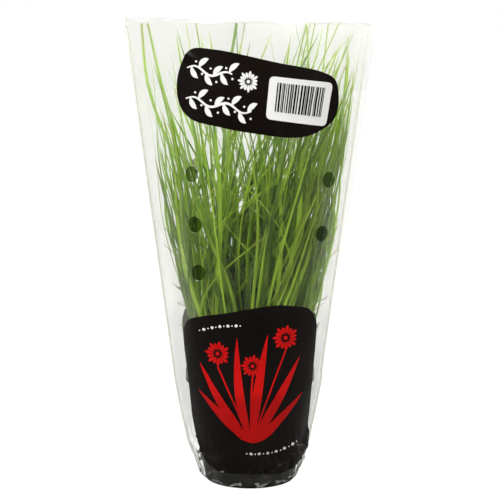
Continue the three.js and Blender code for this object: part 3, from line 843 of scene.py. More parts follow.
@dataclass
class Film:
    """The clear sleeve: a thin closed shell with flat weld strips at its sides and round vents."""

    shape: SleeveShape
    finish: FilmFinish = FilmFinish()
    inner: float = 0.19
    outer: float = 0.31
    columns: int = 62
    low_rows: int = 58
    low_top: float = 40.0
    high_rows: int = 118
    strip_half: float = 0.11
    strip_steps: tuple[float, ...] = (0.06, 0.12, 0.3, 0.65, 1.0)
    strip_wave: float = 0.55
    hem_wave: float = 0.55
    mouth_wave: float = 0.5
    vent_size: Plan = (3.7, 4.7)
    vents: tuple[Plan, ...] = ((-35.9, 202.7), (-33.8, 171.4), (-31.7, 141.2), (49.6, 199.1), (45.3, 164.9))
    vent_sides: int = 40
    vent_reach: float = 140.0
    # Smoke-tinted discs that close the vents: painted shade, for the deep shade seen among the leaves through
    # the open vents.
    vent_shade_finish: FilmFinish = FilmFinish("vent_film", tint=(0.50, 0.55, 0.40), spread=0.02, mirror=0.02)
    vent_shade_size: Plan = (3.95, 5.0)
    vent_shade_layer: Plan = (0.34, 0.42)
    seam_finish: FilmFinish = FilmFinish("weld_film", tint=(0.93, 0.93, 0.92), spread=0.35)
    seam_size: Plan = (0.75, 0.34)
    tuck_finish: FilmFinish = FilmFinish(
        "creased_film", spread=0.78, side_spread=0.0, mirror=0.6, cling=(0.9, 1.0))
    tuck_layer: Plan = (0.40, 0.62)
    tucks: tuple[tuple[float, float, float, float], ...] = (
        (-29.5, 5.2, 1.7, 0.9), (-20.5, 3.6, 1.5, 1.6), (-17.6, 2.9, 0.8, 1.2), (-9.4, 2.9, 2.4, 0.8),
        (-6.2, 3.6, 0.9, 1.4), (4.6, 3.4, 1.1, 1.7), (8.2, 2.8, 2.7, 0.9), (17.6, 4.1, 1.9, 1.3),
        (21.4, 3.3, 1.0, 0.8), (26.8, 6.3, 2.2, 1.1), (30.9, 9.6, 1.1, 1.9), (32.6, 14.2, 0.9, 1.4))

    def heights(self) -> Array:
        """Give the rows' heights, closer together in the tuck."""
        low = np.linspace(self.shape.hem, self.low_top, self.low_rows, endpoint=False)
        return np.concatenate([low, np.linspace(self.low_top, self.shape.top, self.high_rows)])

    def face_rows(self, face: Face, offset: float, z: Array) -> Array:
        """Lay out one face, from its left weld to its right one.

        Args:
            face: Front or back.
            offset: Distance out from the plain surface.
            z: The rows' heights.

        Returns:
            Points by row and column.
        """
        share = np.linspace(-1, 1, 2 * self.columns + 1)
        share = np.sign(share) * np.abs(share) ** 0.94
        swing = np.sin(share * 9.0 + 1.2) * 0.6 + np.sin(share * 23.0 + face.value) * 0.4
        level = z[:, None] + np.zeros_like(share)
        ease_low = 1 - smooth_step(level, self.shape.hem, self.shape.hem + 14)
        ease_high = smooth_step(level, self.shape.top - 24, self.shape.top)
        ragged = np.abs(np.sin(share * 31.0 + 0.7 * face.value) + 0.6 * np.sin(share * 57.0))
        level = level + self.hem_wave * (1 + swing + ragged) * ease_low + self.mouth_wave * swing * ease_high
        return self.shape.at_share(share, level, offset, face)

    def strip_rows(self, right: bool, depth: float, z: Array) -> Array:
        """Lay out one side of a weld strip, from the weld outwards.

        Args:
            right: Whether it is the right strip.
            depth: The strip's surface along Y from its middle.
            z: The rows' heights.

        Returns:
            Points by row and column.
        """
        half_width, _, _, flare = self.shape.section(z)
        weld_x = self.shape.quarter(z, np.full(z.shape, right))[3]
        steps = np.array(self.strip_steps)
        sign = 1 if right else -1
        x = sign * (weld_x[:, None] + (half_width - weld_x)[:, None] * steps)
        width = (half_width - weld_x)[:, None] / self.shape.weld_right
        wave = np.sin(z / 17.0 + sign) + 0.5 * np.sin(z / 6.1 + 2.0 * sign)
        y = depth + self.strip_wave * wave[:, None] * steps ** 1.5 * width
        lift = self.shape.mouth_tilt * x * flare[:, None]
        return np.stack([x, y, z[:, None] - lift], -1)

    def shell(self) -> Piece:
        """Build the closed shell of the whole sleeve."""
        z = self.heights()
        front, back = self.face_rows(Face.FRONT, self.outer, z), self.face_rows(Face.BACK, self.outer, z)
        thin = self.strip_half
        parts = [front, self.strip_rows(True, -thin, z), self.strip_rows(True, thin, z)[:, ::-1],
                 back[:, ::-1], self.strip_rows(False, thin, z), self.strip_rows(False, -thin, z)[:, ::-1]]
        outside = np.concatenate(parts, axis=1)
        inside = np.concatenate([self.face_rows(Face.FRONT, self.inner, z),
                                 self.face_rows(Face.BACK, self.inner, z)[:, ::-1]], axis=1)
        face, strip = front.shape[1], len(self.strip_steps)
        partner = [*range(face), *[face - 1] * strip, *[face] * strip, *range(face, 2 * face),
                   *[2 * face - 1] * strip, *[0] * strip]
        rows, wide, narrow = len(z), outside.shape[1], inside.shape[1]
        base = rows * wide
        faces = tube_faces(rows, wide) + [(a, d, c, b) for a, b, c, d in tube_faces(rows, narrow, base)]
        top, inner_top = (rows - 1) * wide, base + (rows - 1) * narrow
        for i in range(wide):
            j = (i + 1) % wide
            a, b = partner[i], partner[j]
            faces.append(tuple(dict.fromkeys((top + i, top + j, inner_top + b, inner_top + a))))
            faces.append(tuple(dict.fromkeys((j, i, base + a, base + b))))
        points = np.concatenate([outside.reshape(-1, 3), inside.reshape(-1, 3)])
        return mesh_object("film_sleeve", points, faces)

    def vent_tree(self) -> Tree:
        """Make the geometry tree that cuts the vents.

        Returns:
            The tree, with inputs for the vents' places, sizes and the material.
        """
        pad, entry = geometry_tree("Cut vents", {
            "Places": ("NodeSocketObject", None), "Half Size": ("NodeSocketVector", None),
            "Sides": ("NodeSocketInt", None)})
        places = pad.add("GeometryNodeObjectInfo", {"Object": entry["Places"]})
        punch = pad.add("GeometryNodeMeshCylinder", {"Vertices": entry["Sides"], "Radius": 1.0, "Depth": 2.0})
        stamped = pad.add("GeometryNodeInstanceOnPoints", {
            "Points": places.outputs["Geometry"], "Instance": punch,
            "Rotation": (math.pi / 2, 0, 0), "Scale": entry["Half Size"]})
        punches = pad.add("GeometryNodeRealizeInstances", {"Geometry": stamped})
        cut = pad.add("GeometryNodeMeshBoolean", {0: entry["Geometry"], 1: punches},
                      operation="DIFFERENCE", solver="MANIFOLD")
        whole = pad.add("GeometryNodeRealizeInstances", {"Geometry": cut})
        pad.coat(whole, entry["Material"])
        return pad.tree

    def build(self) -> Piece:
        """Build the sleeve and cut its vents.

        Returns:
            The piece.
        """
        material = self.finish.material()
        shell = self.shell()
        spots = np.array([(x, 0, z) for x, z in self.vents], float)
        places = mesh_object("vent_places", spots, [])
        size = (self.vent_size[0] * MM, self.vent_size[1] * MM, self.vent_reach / 2 * MM)
        film = grow(shell, self.vent_tree(), "film_sleeve", {
            "Places": places, "Half Size": size, "Sides": self.vent_sides, "Material": material})
        bpy.data.objects.remove(places)
        self.build_vent_shade()
        self.build_seams()
        self.build_tucks()
        return dress(film, material, Slot.FILM, "sleeve")

    def build_seams(self) -> None:
        """Run the pressed seam up each side weld."""
        material = self.seam_finish.material()
        z = self.heights()[2:-1:3]
        _, _, _, flare = self.shape.section(z)
        for right, name in ((True, "weld_seam_right"), (False, "weld_seam_left")):
            weld = self.shape.quarter(z, np.full(z.shape, right))[3] * (1 if right else -1)
            lift = self.shape.mouth_tilt * weld * flare
            ring = [(-1, -1), (1, -1), (1, 1), (-1, 1)]
            points = [(x + a * self.seam_size[0], b * self.seam_size[1], h)
                      for x, h in zip(weld, z - lift) for a, b in ring]
            faces = tube_faces(len(z), 4) + [(3, 2, 1, 0), tuple(4 * len(z) - 4 + i for i in range(4))]
            dress(mesh_object(name, np.array(points), faces), material, Slot.FILM)

    def build_tucks(self) -> None:
        """Lay the small whitish tucks along the hem, where the film is folded over itself."""
        material = self.tuck_finish.material()
        for face in Face:
            sheet = Sheet2D()
            for i, (x, z, half_width, half_height) in enumerate(self.tucks):
                turn = np.arange(14) * math.pi / 7
                bulge = 1 + 0.20 * np.sin(3 * turn + i) + 0.08 * np.sin(5 * turn + 2.0 * i)
                slant = 0.5 * math.sin(2.3 * i)
                across = 1.35 * half_width * bulge * np.cos(turn)
                rim = zip(x * -face.value + across, z + half_height * bulge * np.sin(turn) + slant * across)
                sheet.fill(list(rim), 0.9)
            piece = sheet.lay(f"hem_tucks_{face.name.lower()}", self.shape, *self.tuck_layer, face)
            dress(piece, material, Slot.FILM)

    def build_vent_shade(self) -> None:
        """Close each vent with a disc of darker film, on both faces: painted shade, for the deep shade among
        the leaves that the open vents show.
        """
        material = self.vent_shade_finish.material()
        turn = np.arange(self.vent_sides) * 2 * math.pi / self.vent_sides
        for face in Face:
            sheet = Sheet2D()
            for x, z in self.vents:
                rim = zip(x + self.vent_shade_size[0] * np.cos(turn), z + self.vent_shade_size[1] * np.sin(turn))
                sheet.fill(list(rim), 1.3)
            piece = sheet.lay(f"vent_windows_{face.name.lower()}", self.shape, *self.vent_shade_layer, face)
            dress(piece, material, Slot.FILM)


def evaluated_mesh(piece: Piece) -> bpy.types.Mesh:
    """Give a piece's mesh as its modifiers leave it."""
    bpy.context.view_layer.update()
    return bpy.data.meshes.new_from_object(piece.evaluated_get(bpy.context.evaluated_depsgraph_get()))


def grow(piece: Piece, tree: Tree, name: str, values: dict[str, object]) -> Piece:
    """Run a geometry tree on a piece and keep the result as a plain mesh.

    Args:
        piece: The object that the tree works on, which is removed.
        tree: The geometry tree.
        name: The finished piece's name.
        values: Value for each of the tree's inputs, by its name.

    Returns:
        A new object with the finished mesh.
    """
    modifier = piece.modifiers.new("tree", "NODES")
    modifier.node_group = tree
    for item in tree.interface.items_tree:
        if item.item_type == "SOCKET" and item.in_out == "INPUT" and item.name in values:
            modifier[item.identifier] = values[item.name]
    mesh = evaluated_mesh(piece)
    bpy.data.objects.remove(piece)
    mesh.name = name
    grown = bpy.data.objects.new(name, mesh)
    bpy.context.scene.collection.objects.link(grown)
    mesh.polygons.foreach_set("use_smooth", [True] * len(mesh.polygons))
    return grown


@dataclass
class Leaf:
    """One leaf: its root clump, its centre line at the leaf levels, its tip and its form."""

    clump: int
    line: Array
    tip: float
    full: float
    facing: float
    twist: float
    rule: "LeafRule"

    def centre(self, z: Array) -> Array:
        """Follow the centre line smoothly through its levels.

        Args:
            z: Heights along the leaf.

        Returns:
            X and Y at each height.
        """
        levels = np.array(self.rule.levels[:len(self.line)])
        slope = np.gradient(self.line, levels, axis=0)
        k = np.clip(np.searchsorted(levels, z, side="right") - 1, 0, len(levels) - 2)
        step = (levels[k + 1] - levels[k])[:, None]
        t = (z - levels[k])[:, None] / step
        return ((2 * t ** 3 - 3 * t ** 2 + 1) * self.line[k] + (t ** 3 - 2 * t ** 2 + t) * step * slope[k]
                + (3 * t ** 2 - 2 * t ** 3) * self.line[k + 1] + (t ** 3 - t ** 2) * step * slope[k + 1])


@dataclass
class LeafRule:
    """Seeded rule that plants the clumps on a spiral and pushes their leaves apart."""

    shape: SleeveShape
    clumps: int = 38
    clump_spread: float = 34.0
    ring_radius: float = 1.3
    leaves_per_clump: tuple[int, ...] = (5, 6, 4, 6)
    levels: tuple[float, ...] = (71, 95, 130, 170, 212, 256, 300)
    bunch_half_widths: tuple[float, ...] = (38, 34.5, 42, 58, 68, 74, 78)
    bunch_lean: float = 13.0
    width: Plan = (1.5, 3.6)
    mean_tip: float = 236.0
    tip_scatter: float = 48.0
    lowest_tip: float = 130.0
    trim_height: float = 296.5
    fan_out: Plan = (1.25, 0.8)
    spread: Plan = (24.0, 16.0)
    sway: float = 42.0
    reach: Plan = (0.35, 1.25)
    bend: Plan = (1.1, 2.0)
    bow: Plan = (17.0, 3.0)
    turn: float = 0.45
    flatten: float = 2.2
    twist: float = 1.4
    stray_lean: float = 92.0
    stray_share: float = 0.75
    clearance: float = 3.55
    sister_clearance: float = 2.8
    film_clearance: float = 2.6
    settle_steps: int = 220
    settle_pace: float = 0.8
    seed: int = 4127

    def root(self, clump: int) -> Array:
        """Give the place of a clump on the sunflower spiral."""
        radius = self.clump_spread * math.sqrt((clump + 0.5) / self.clumps)
        return np.array([radius * math.cos(clump * GOLDEN_ANGLE), radius * math.sin(clump * GOLDEN_ANGLE)])

    def plant(self) -> list[Leaf]:
        """Plant every leaf and settle them.

        Returns:
            The leaves, clump by clump.
        """
        draw = random_source(self.seed)
        leaves = []
        for clump in range(self.clumps):
            turn = 2 * math.pi * draw()
            sway = self.sway * (2 * draw() - 1)
            count = self.leaves_per_clump[clump % len(self.leaves_per_clump)]
            for j in range(count):
                side = turn + (j + (-0.2 + 0.4 * draw())) * 2 * math.pi / count
                leaves.append(self.plant_leaf(clump, side, sway, draw))
        self.settle(leaves, [])
        return leaves

    def plant_leaf(self, clump: int, side: float, sway: float, draw: Draw) -> Leaf:
        """Plant one leaf.

        Args:
            clump: Number of its clump.
            side: Direction from the clump's middle that it grows on.
            sway: How far its clump leans sideways.
            draw: Source of random numbers.

        Returns:
            The leaf, before it settles.
        """
        def between(low: float, high: float) -> float:
            """Draw a number in a range."""
            return low + (high - low) * draw()

        root = self.root(clump)
        ahead = np.array([math.cos(side), math.sin(side)])
        start = root + self.ring_radius * ahead
        height = self.mean_tip + self.tip_scatter * (between(-1, 1) + between(-1, 1))
        tip = min(max(height, self.lowest_tip), self.trim_height)
        reach = between(*self.reach)
        stray = self.stray_lean * between(-1, 1) if between(0, 1) < self.stray_share else 0.0
        aside = np.array([stray + sway + self.bunch_lean, 0.0])
        target = root * self.fan_out + np.array(self.spread) * reach * ahead + aside
        bend, full = between(*self.bend), between(*self.width)
        outward = math.atan2(self.flatten * math.sin(side), math.cos(side))
        facing = outward + math.pi / 2 + between(-self.turn, self.turn)
        twist = between(-self.twist, self.twist)
        bow = np.array([self.bow[0] * between(-1, 1), self.bow[1] * between(-1, 1)])
        count = next(k for k, z in enumerate(self.levels) if z >= tip) + 1
        rise = (np.array(self.levels[:count]) - self.levels[0]) / (tip - self.levels[0])
        line = start + (target - start) * (rise ** bend)[:, None] + bow * np.sin(math.pi * rise)[:, None]
        return Leaf(clump, line, tip, full, facing, twist, self)

    def hold_inside(self, points: Array, z: Array, clearance: float) -> Array:
        """Keep points inside the film.

        Args:
            points: X and Y of each.
            z: Their heights.
            clearance: How far inside they stay.

        Returns:
            X and Y of each, moved in where needed.
        """
        half_width, depth, radius, _ = self.shape.section(z)
        centre = radius - depth
        angle = self.shape.leave_angle(half_width - self.shape.weld_right, centre, radius)
        x, deep = np.abs(points[..., 0]), np.abs(points[..., 1]) + centre
        own = np.minimum(np.arctan2(x, deep), angle)
        excess = np.maximum(x * np.sin(own) + deep * np.cos(own) - radius + clearance, 0)
        push = np.stack([excess * np.sin(own), excess * np.cos(own)], -1)
        return points - np.sign(points) * push

    def settle(self, leaves: list[Leaf], fixed: list[Leaf], clearance: float | None = None) -> None:
        """Push leaves apart, inside the film, for a set number of steps. Thin ones may still cross others.

        Args:
            leaves: Leaves that move.
            fixed: Leaves that stay, and that the others keep clear of.
            clearance: Distance kept between any two, or None for the rule's own two distances.
        """
        crowd = leaves + fixed
        total, moving = len(crowd), len(leaves)
        levels = np.array(self.levels)
        count = np.array([len(leaf.line) for leaf in crowd])
        full = len(levels)
        lines = np.stack([np.pad(leaf.line, ((0, full - len(leaf.line)), (0, 0)), "edge") for leaf in crowd])
        tips = np.array([leaf.tip for leaf in crowd])
        cover = np.minimum(1, (tips[:, None] - levels[:-1]) / np.diff(levels))
        clump = np.array([leaf.clump for leaf in crowd])
        first, second = np.triu_indices(total, 1)
        wanted = first < moving
        first, second = first[wanted], second[wanted]
        sisters = clump[first] == clump[second]
        apart = np.where(sisters, self.sister_clearance, self.clearance) if clearance is None else clearance
        apart = np.broadcast_to(apart, first.shape)
        k = np.arange(len(levels) - 1)
        shared = np.minimum(count[first], count[second]) - 1
        live = (k < shared[:, None]) & ~(sisters[:, None] & (k == 0))
        end = np.maximum(np.minimum(cover[first], cover[second]), 0)
        movable = (np.arange(total) < moving)[:, None] & (np.arange(len(levels)) < count[:, None])
        movable[:, 0] = False
        widest = np.array(self.bunch_half_widths, float)
        for _ in range(self.settle_steps):
            gap = lines[first] - lines[second]
            near, travel = gap[:, :-1], gap[:, 1:] - gap[:, :-1]
            square = (travel ** 2).sum(-1)
            dot = (near * travel).sum(-1)
            t = np.where(square > 0, np.clip(-dot / np.where(square > 0, square, 1), 0, end), 0)
            space = near + travel * t[..., None]
            distance = np.hypot(space[..., 0], space[..., 1])
            pair, level = np.nonzero(live & (distance < apart[:, None]) & (distance > 0))
            share = t[pair, level]
            close = distance[pair, level]
            push = (apart[pair] - close) / close / ((1 - share) ** 2 + share ** 2) / 2
            away = space[pair, level] * push[:, None]
            shift = np.zeros_like(lines)
            np.add.at(shift, (first[pair], level), away * (1 - share)[:, None])
            np.add.at(shift, (first[pair], level + 1), away * share[:, None])
            np.add.at(shift, (second[pair], level), -away * (1 - share)[:, None])
            np.add.at(shift, (second[pair], level + 1), -away * share[:, None])
            moved = lines + self.settle_pace * shift
            moved = self.hold_inside(moved, levels, self.film_clearance)
            moved[..., 0] = np.clip(moved[..., 0], -widest, widest)
            lines = np.where(movable[..., None], moved, lines)
        for leaf, line in zip(leaves, lines):
            leaf.line = line[:len(leaf.line)]


def leaf_path(points: Array, half_width: Array, face: Array, along: Array,
              **values: Array | float) -> dict[str, Array]:
    """Gather a path's points with what is stored along it, where a plain number counts for all of it."""
    stored = {key: np.zeros(len(points)) + value for key, value in values.items()}
    return {"points": points, "half_width": half_width * MM, "face": face, "along": along, **stored}


@dataclass
class LeafStand:
    """All the leaves, one piece for each clump, with the thinner leaves and dry wisps among them."""

    rule: LeafRule
    finish: LeafFinish = LeafFinish()
    foot: float = 66.0
    soil_foot: float = 56.5
    sheath_top: float = 76.0
    sheath_radius: float = 2.45
    rows: int = 24
    swell_foot: float = 0.5
    swell: float = 2.4
    taper: float = 0.72
    trimmed_taper: float = 0.5
    film_clearance: float = 1.9
    ease: float = 0.55
    # Lighter tint towards the bunch's sides and darker in its middle: painted light and shade, for the light
    # that shines through the side leaves.
    painted_side_light: float = 0.4
    painted_light_pivot: float = 0.36
    thin_leaves: int = 120
    edge_leaves: int = 46
    edge_sway: Plan = (44.0, 44.0)
    thin_half_widths: tuple[float, ...] = (38, 36, 47, 63, 75, 83, 90)
    thin_seed: int = 90210
    thin_width: Plan = (0.9, 2.5)
    thin_clearance: float = 1.9
    thin_tip: float = 218.0
    thin_scatter: float = 46.0
    thin_lean: float = 84.0
    thin_sway: Plan = (-4.0, 74.0)
    thin_ring: float = 2.3
    thin_bow: Plan = (32.0, 6.0)
    thin_bend: Plan = (1.3, 3.0)
    wisps: int = 30
    wisp_seed: int = 777
    stray_wisps: tuple[tuple[Plan, Plan, Plan], ...] = (
        ((-30, 74), (-37, 148), (-56, 154)), ((-30, 74), (-36, 126), (-51, 129)),
        ((-31, 74), (-36, 113), (-45, 118)), ((31, 74), (44, 156), (57, 166)),
        ((31, 74), (36, 126), (46, 134)), ((28, 74), (41, 140), (50, 139)))
    tree: Tree | None = None
    material: Material | None = None

    def sweep_tree(self) -> Tree:
        """Make the geometry tree that sweeps leaves and sheaths along their centre lines.

        Returns:
            The tree, with inputs for the blade's section, the sheath's sides and the material.
        """
        pad, entry = geometry_tree("Sweep leaves", {
            "Sides": ("NodeSocketInt", 8), "Keel": ("NodeSocketFloat", 0.36),
            "Crown": ("NodeSocketFloat", 0.05), "Channel": ("NodeSocketFloat", 0.14),
            "Sheath Sides": ("NodeSocketInt", 12)})
        ring = pad.add("GeometryNodeCurvePrimitiveCircle", {"Resolution": entry["Sides"], "Radius": 1.0})
        spot = pad.add("ShaderNodeSeparateXYZ", {0: pad.add("GeometryNodeInputPosition").outputs[0]})
        under = pad.add("FunctionNodeCompare", {0: spot.outputs["Y"], 1: 0.0}, operation="LESS_THAN")
        depth = pad.add("GeometryNodeSwitch", {
            "Switch": under, "False": entry["Crown"], "True": entry["Keel"]}, input_type="FLOAT")
        square = pad.math("MULTIPLY", spot.outputs["X"], spot.outputs["X"])
        bowl = pad.math("MULTIPLY", square, entry["Channel"])
        rise = pad.math("ADD", pad.math("MULTIPLY", spot.outputs["Y"], depth.outputs[0]), bowl)
        placed = pad.add("ShaderNodeCombineXYZ", {"X": spot.outputs["X"], "Y": rise})
        section = pad.add("GeometryNodeSetPosition", {"Geometry": ring, "Position": placed})
        across = pad.add("GeometryNodeStoreNamedAttribute", {
            "Geometry": section, "Name": "across", "Value": spot.outputs["X"]},
            data_type="FLOAT", domain="POINT")
        pipe = pad.add("GeometryNodeCurvePrimitiveCircle", {
            "Resolution": entry["Sheath Sides"], "Radius": 1.0})
        is_sheath = pad.add("GeometryNodeInputNamedAttribute", {"Name": "sheath"}, data_type="FLOAT")
        split = pad.add("GeometryNodeSeparateGeometry", {
            "Geometry": entry["Geometry"], "Selection": is_sheath}, domain="POINT")
        swept = [self.sweep(pad, split.outputs["Selection"], pipe.outputs[0]),
                 self.sweep(pad, split.outputs["Inverted"], across.outputs[0])]
        joined = pad.add("GeometryNodeJoinGeometry")
        for mesh in swept:
            pad.tree.links.new(mesh, joined.inputs[0])
        whole = pad.add("GeometryNodeRealizeInstances", {"Geometry": joined})
        pad.coat(whole, entry["Material"])
        return pad.tree

    @staticmethod
    def sweep(pad: NodePad, paths: Socket, section: Socket) -> Socket:
        """Add the nodes that sweep a section along paths.

        Args:
            pad: Pad of the tree.
            paths: The paths' edges.
            section: The section's curve.

        Returns:
            The swept mesh's socket.
        """
        curve = pad.add("GeometryNodeMeshToCurve", {"Mesh": paths})
        face = pad.add("GeometryNodeInputNamedAttribute", {"Name": "face"}, data_type="FLOAT_VECTOR")
        aimed = pad.add("GeometryNodeSetCurveNormal", {"Curve": curve, "Normal": face}, mode="FREE")
        half = pad.add("GeometryNodeInputNamedAttribute", {"Name": "half_width"}, data_type="FLOAT")
        return pad.add("GeometryNodeCurveToMesh", {
            "Curve": aimed, "Profile Curve": section, "Scale": half, "Fill Caps": True}).outputs[0]

    def blade(self, leaf: Leaf, draw: Draw) -> dict[str, Array]:
        """Lay out one leaf's path and what is stored along it.

        Args:
            leaf: The settled leaf.
            draw: Source of random numbers.

        Returns:
            Points and values at each of them.
        """
        share = np.linspace(0, 1, self.rows) ** 0.92
        z = self.foot + (leaf.tip - self.foot) * share
        first = self.rule.levels[0]
        plan = leaf.centre(np.maximum(z, first))
        root = self.rule.root(leaf.clump)
        sunk = np.clip((first - z) / (first - self.foot), 0, 1)[:, None]
        plan = plan + (root - plan) * 0.35 * sunk
        plan = self.rule.hold_inside(plan, z, self.film_clearance)
        grown = np.clip((z - first) / (leaf.tip - first), 0, 1)
        swell = np.minimum(1, self.swell_foot + self.swell * grown)
        if leaf.tip >= self.rule.trim_height:
            taper = 1 - self.trimmed_taper * grown
        else:
            taper = 1 - self.taper * np.maximum(0, 2 * grown - 1) ** 1.5
            taper = taper * np.clip((1 - grown) / 0.05, 0.03, 1) ** 0.6
        angle = leaf.facing + leaf.twist * grown
        points = np.column_stack([plan, z])
        tangent = np.gradient(points, axis=0)
        tangent /= np.linalg.norm(tangent, axis=1)[:, None]
        face = np.column_stack([np.cos(angle), np.sin(angle), np.zeros_like(angle)])
        face -= (face * tangent).sum(1)[:, None] * tangent
        face /= np.linalg.norm(face, axis=1)[:, None]
        tint, dry_tip, dry_length = draw(), draw(), 0.03 + 0.10 * draw()
        # Painted light and shade: the tint rises towards the bunch's sides and falls in its middle.
        aside = abs(plan[self.rows // 2, 0]) / self.rule.bunch_half_widths[3]
        tint += self.painted_side_light * (aside - self.painted_light_pivot)
        dry = smooth_step(grown, 1 - dry_length, 1) * (0.9 if dry_tip < 0.3 else 0.0)
        return leaf_path(points, leaf.full / 2 * swell * taper, face, grown, tint=tint, dry=dry, sheath=0.0)

    def sheath(self, clump: int) -> dict[str, Array]:
        """Lay out the short sheath that a clump's leaves grow from.

        Args:
            clump: Number of the clump.

        Returns:
            Points and values at each of them.
        """
        z = np.array([self.soil_foot, 60, 63.5, 67, 70.5, 73.5, self.sheath_top])
        width = np.array([0.92, 0.98, 1.0, 0.96, 0.88, 0.74, 0.5]) * self.sheath_radius
        points = np.column_stack([np.tile(self.rule.root(clump), (len(z), 1)), z])
        face = np.tile([1.0, 0, 0], (len(z), 1))
        return leaf_path(points, width, face, np.zeros(len(z)), tint=0.5, dry=0.0, sheath=1.0)

    def sweep_paths(self, name: str, paths: list[dict[str, Array]]) -> Piece:
        """Turn paths into a finished mesh.

        Args:
            name: The piece's name.
            paths: Each path's points and stored values.

        Returns:
            The piece.
        """
        stacked = {key: np.concatenate([path[key] for path in paths]) for key in paths[0]}
        edges, start = [], 0
        for path in paths:
            size = len(path["points"])
            edges += [(start + i, start + i + 1) for i in range(size - 1)]
            start += size
        lines = mesh_object(name + "_paths", stacked.pop("points"), [], edges=edges)
        for key, values in stacked.items():
            paint(lines, key, values)
        return grow(lines, self.tree, name, {"Material": self.material})

    def build(self) -> None:
        """Build every clump, the thin leaves and the wisps."""
        self.material, self.tree = self.finish.material(), self.sweep_tree()
        leaves = self.rule.plant()
        for leaf in leaves:
            middle = (leaf.line[:-2] + 2 * leaf.line[1:-1] + leaf.line[2:]) / 4
            leaf.line[1:-1] += self.ease * (middle - leaf.line[1:-1])
        draw = random_source(self.rule.seed + 1)
        worst = 0.0
        for clump in range(self.rule.clumps):
            node = f"clump_{clump + 1:02d}"
            paths = [self.sheath(clump)] + [self.blade(leaf, draw) for leaf in leaves if leaf.clump == clump]
            piece = self.sweep_paths(f"clump_leaves_{clump + 1:02d}", paths)
            dress(piece, self.material, Slot.LEAF, node)
            worst = max(worst, self.drift(piece, node))
        log.info("clumps lie within %.2f mm of their CAD solids' boxes", worst)
        self.build_thin_leaves(leaves)
        draw = random_source(self.wisp_seed)
        paths = [self.wisp(draw) for _ in range(self.wisps)]
        paths += [self.stray_wisp(np.array(line, float)) for line in self.stray_wisps]
        piece = self.sweep_paths("dry_wisps", paths)
        dress(piece, self.material, Slot.LEAF)

    def wisp(self, draw: Draw) -> dict[str, Array]:
        """Lay out one hair-thin leaf that has fallen outwards in an arc.

        Args:
            draw: Source of random numbers.

        Returns:
            Points and values at each of them.
        """
        root = self.rule.root(int(draw() * self.rule.clumps))
        side = 1.0 if draw() < 0.5 else -1.0
        reach, rise = 24 + 44 * draw(), 34 + 120 * draw()
        droop, depth = 0.15 + 0.75 * draw(), 30 * (draw() - 0.5)
        t = np.linspace(0, 1, self.rows)
        z = 74 + rise * (t - droop * t ** 3 * 0.6)
        x = root[0] + side * reach * t ** 1.5
        y = root[1] + depth * t + 5 * (draw() - 0.5) * np.sin(t * 5)
        plan = self.rule.hold_inside(np.column_stack([x, y]), z, self.film_clearance)
        points = np.column_stack([plan, z])
        full = 0.5 + 0.45 * draw()
        width = full * np.clip(1.25 - t, 0.12, 1)
        dry = smooth_step(t, 0.2, 1.0) * (1.0 if draw() < 0.45 else 0.1)
        return leaf_path(points, width, self.sideways(points), 0.2 + 0.8 * t,
                         tint=0.3 * draw(), dry=dry, sheath=0.0)

    @staticmethod
    def sideways(points: Array) -> Array:
        """Give the direction across a path that a viewer in front sees in full.

        Args:
            points: The path's points.

        Returns:
            A unit direction at each.
        """
        run = np.gradient(points, axis=0)
        across = np.column_stack([run[:, 2], np.zeros(len(run)), -run[:, 0]])
        return across / np.linalg.norm(across, axis=1)[:, None]

    def stray_wisp(self, line: Array) -> dict[str, Array]:
        """Lay out one wisp that stands out beside the bunch.

        Args:
            line: X and Z of its root, of the point that bends it and of its tip.

        Returns:
            Points and values at each of them.
        """
        t = np.linspace(0, 1, self.rows)
        bend = np.stack([(1 - t) ** 2, 2 * t * (1 - t), t ** 2], 1) @ line
        points = np.column_stack([bend[:, 0], -14 * (1 - t), bend[:, 1]])
        width = 0.42 * np.clip(1.4 - t, 0.3, 1)
        return leaf_path(points, width, self.sideways(points), 0.2 + 0.8 * t,
                         tint=0.0, dry=0.5 * t, sheath=0.0)

    def build_thin_leaves(self, leaves: list[Leaf]) -> None:
        """Build the thinner leaves that grow between the others, clump by clump.

        Args:
            leaves: The settled leaves that they keep clear of.
        """
        thin = replace(
            self.rule, width=self.thin_width, mean_tip=self.thin_tip, tip_scatter=self.thin_scatter,
            stray_lean=self.thin_lean, stray_share=1.0, ring_radius=self.thin_ring, bow=self.thin_bow,
            bend=self.thin_bend, bunch_half_widths=self.thin_half_widths)
        draw = random_source(self.thin_seed)
        extra = []
        for i in range(self.thin_leaves + self.edge_leaves):
            low, span = self.thin_sway if i < self.thin_leaves else self.edge_sway
            side, sway = 2 * math.pi * draw(), low + span * draw()
            extra.append(thin.plant_leaf(i % self.rule.clumps, side, sway, draw))
        thin.settle(extra, leaves, self.thin_clearance)
        for clump in range(self.rule.clumps):
            node = f"clump_{clump + 1:02d}"
            paths = [self.blade(leaf, draw) for leaf in extra if leaf.clump == clump]
            piece = self.sweep_paths(f"clump_thin_leaves_{clump + 1:02d}", paths)
            dress(piece, self.material, Slot.LEAF, node)

    @staticmethod
    def drift(piece: Piece, node: str) -> float:
        """Measure how far a piece's box differs from its CAD node's box, in millimetres.

        Args:
            piece: The piece.
            node: The CAD node.

        Returns:
            The largest difference.
        """
        points = np.array([vertex.co for vertex in piece.data.vertices])
        low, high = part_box(node)
        ends = np.abs(np.concatenate([points.min(0) - np.array(low), points.max(0) - np.array(high)]))
        return float(ends.max()) / MM


def circle(radius: float, sides: int) -> Array:
    """Give X and Y of points evenly round a circle."""
    angle = np.arange(sides) * 2 * math.pi / sides
    return np.column_stack([radius * np.cos(angle), radius * np.sin(angle)])


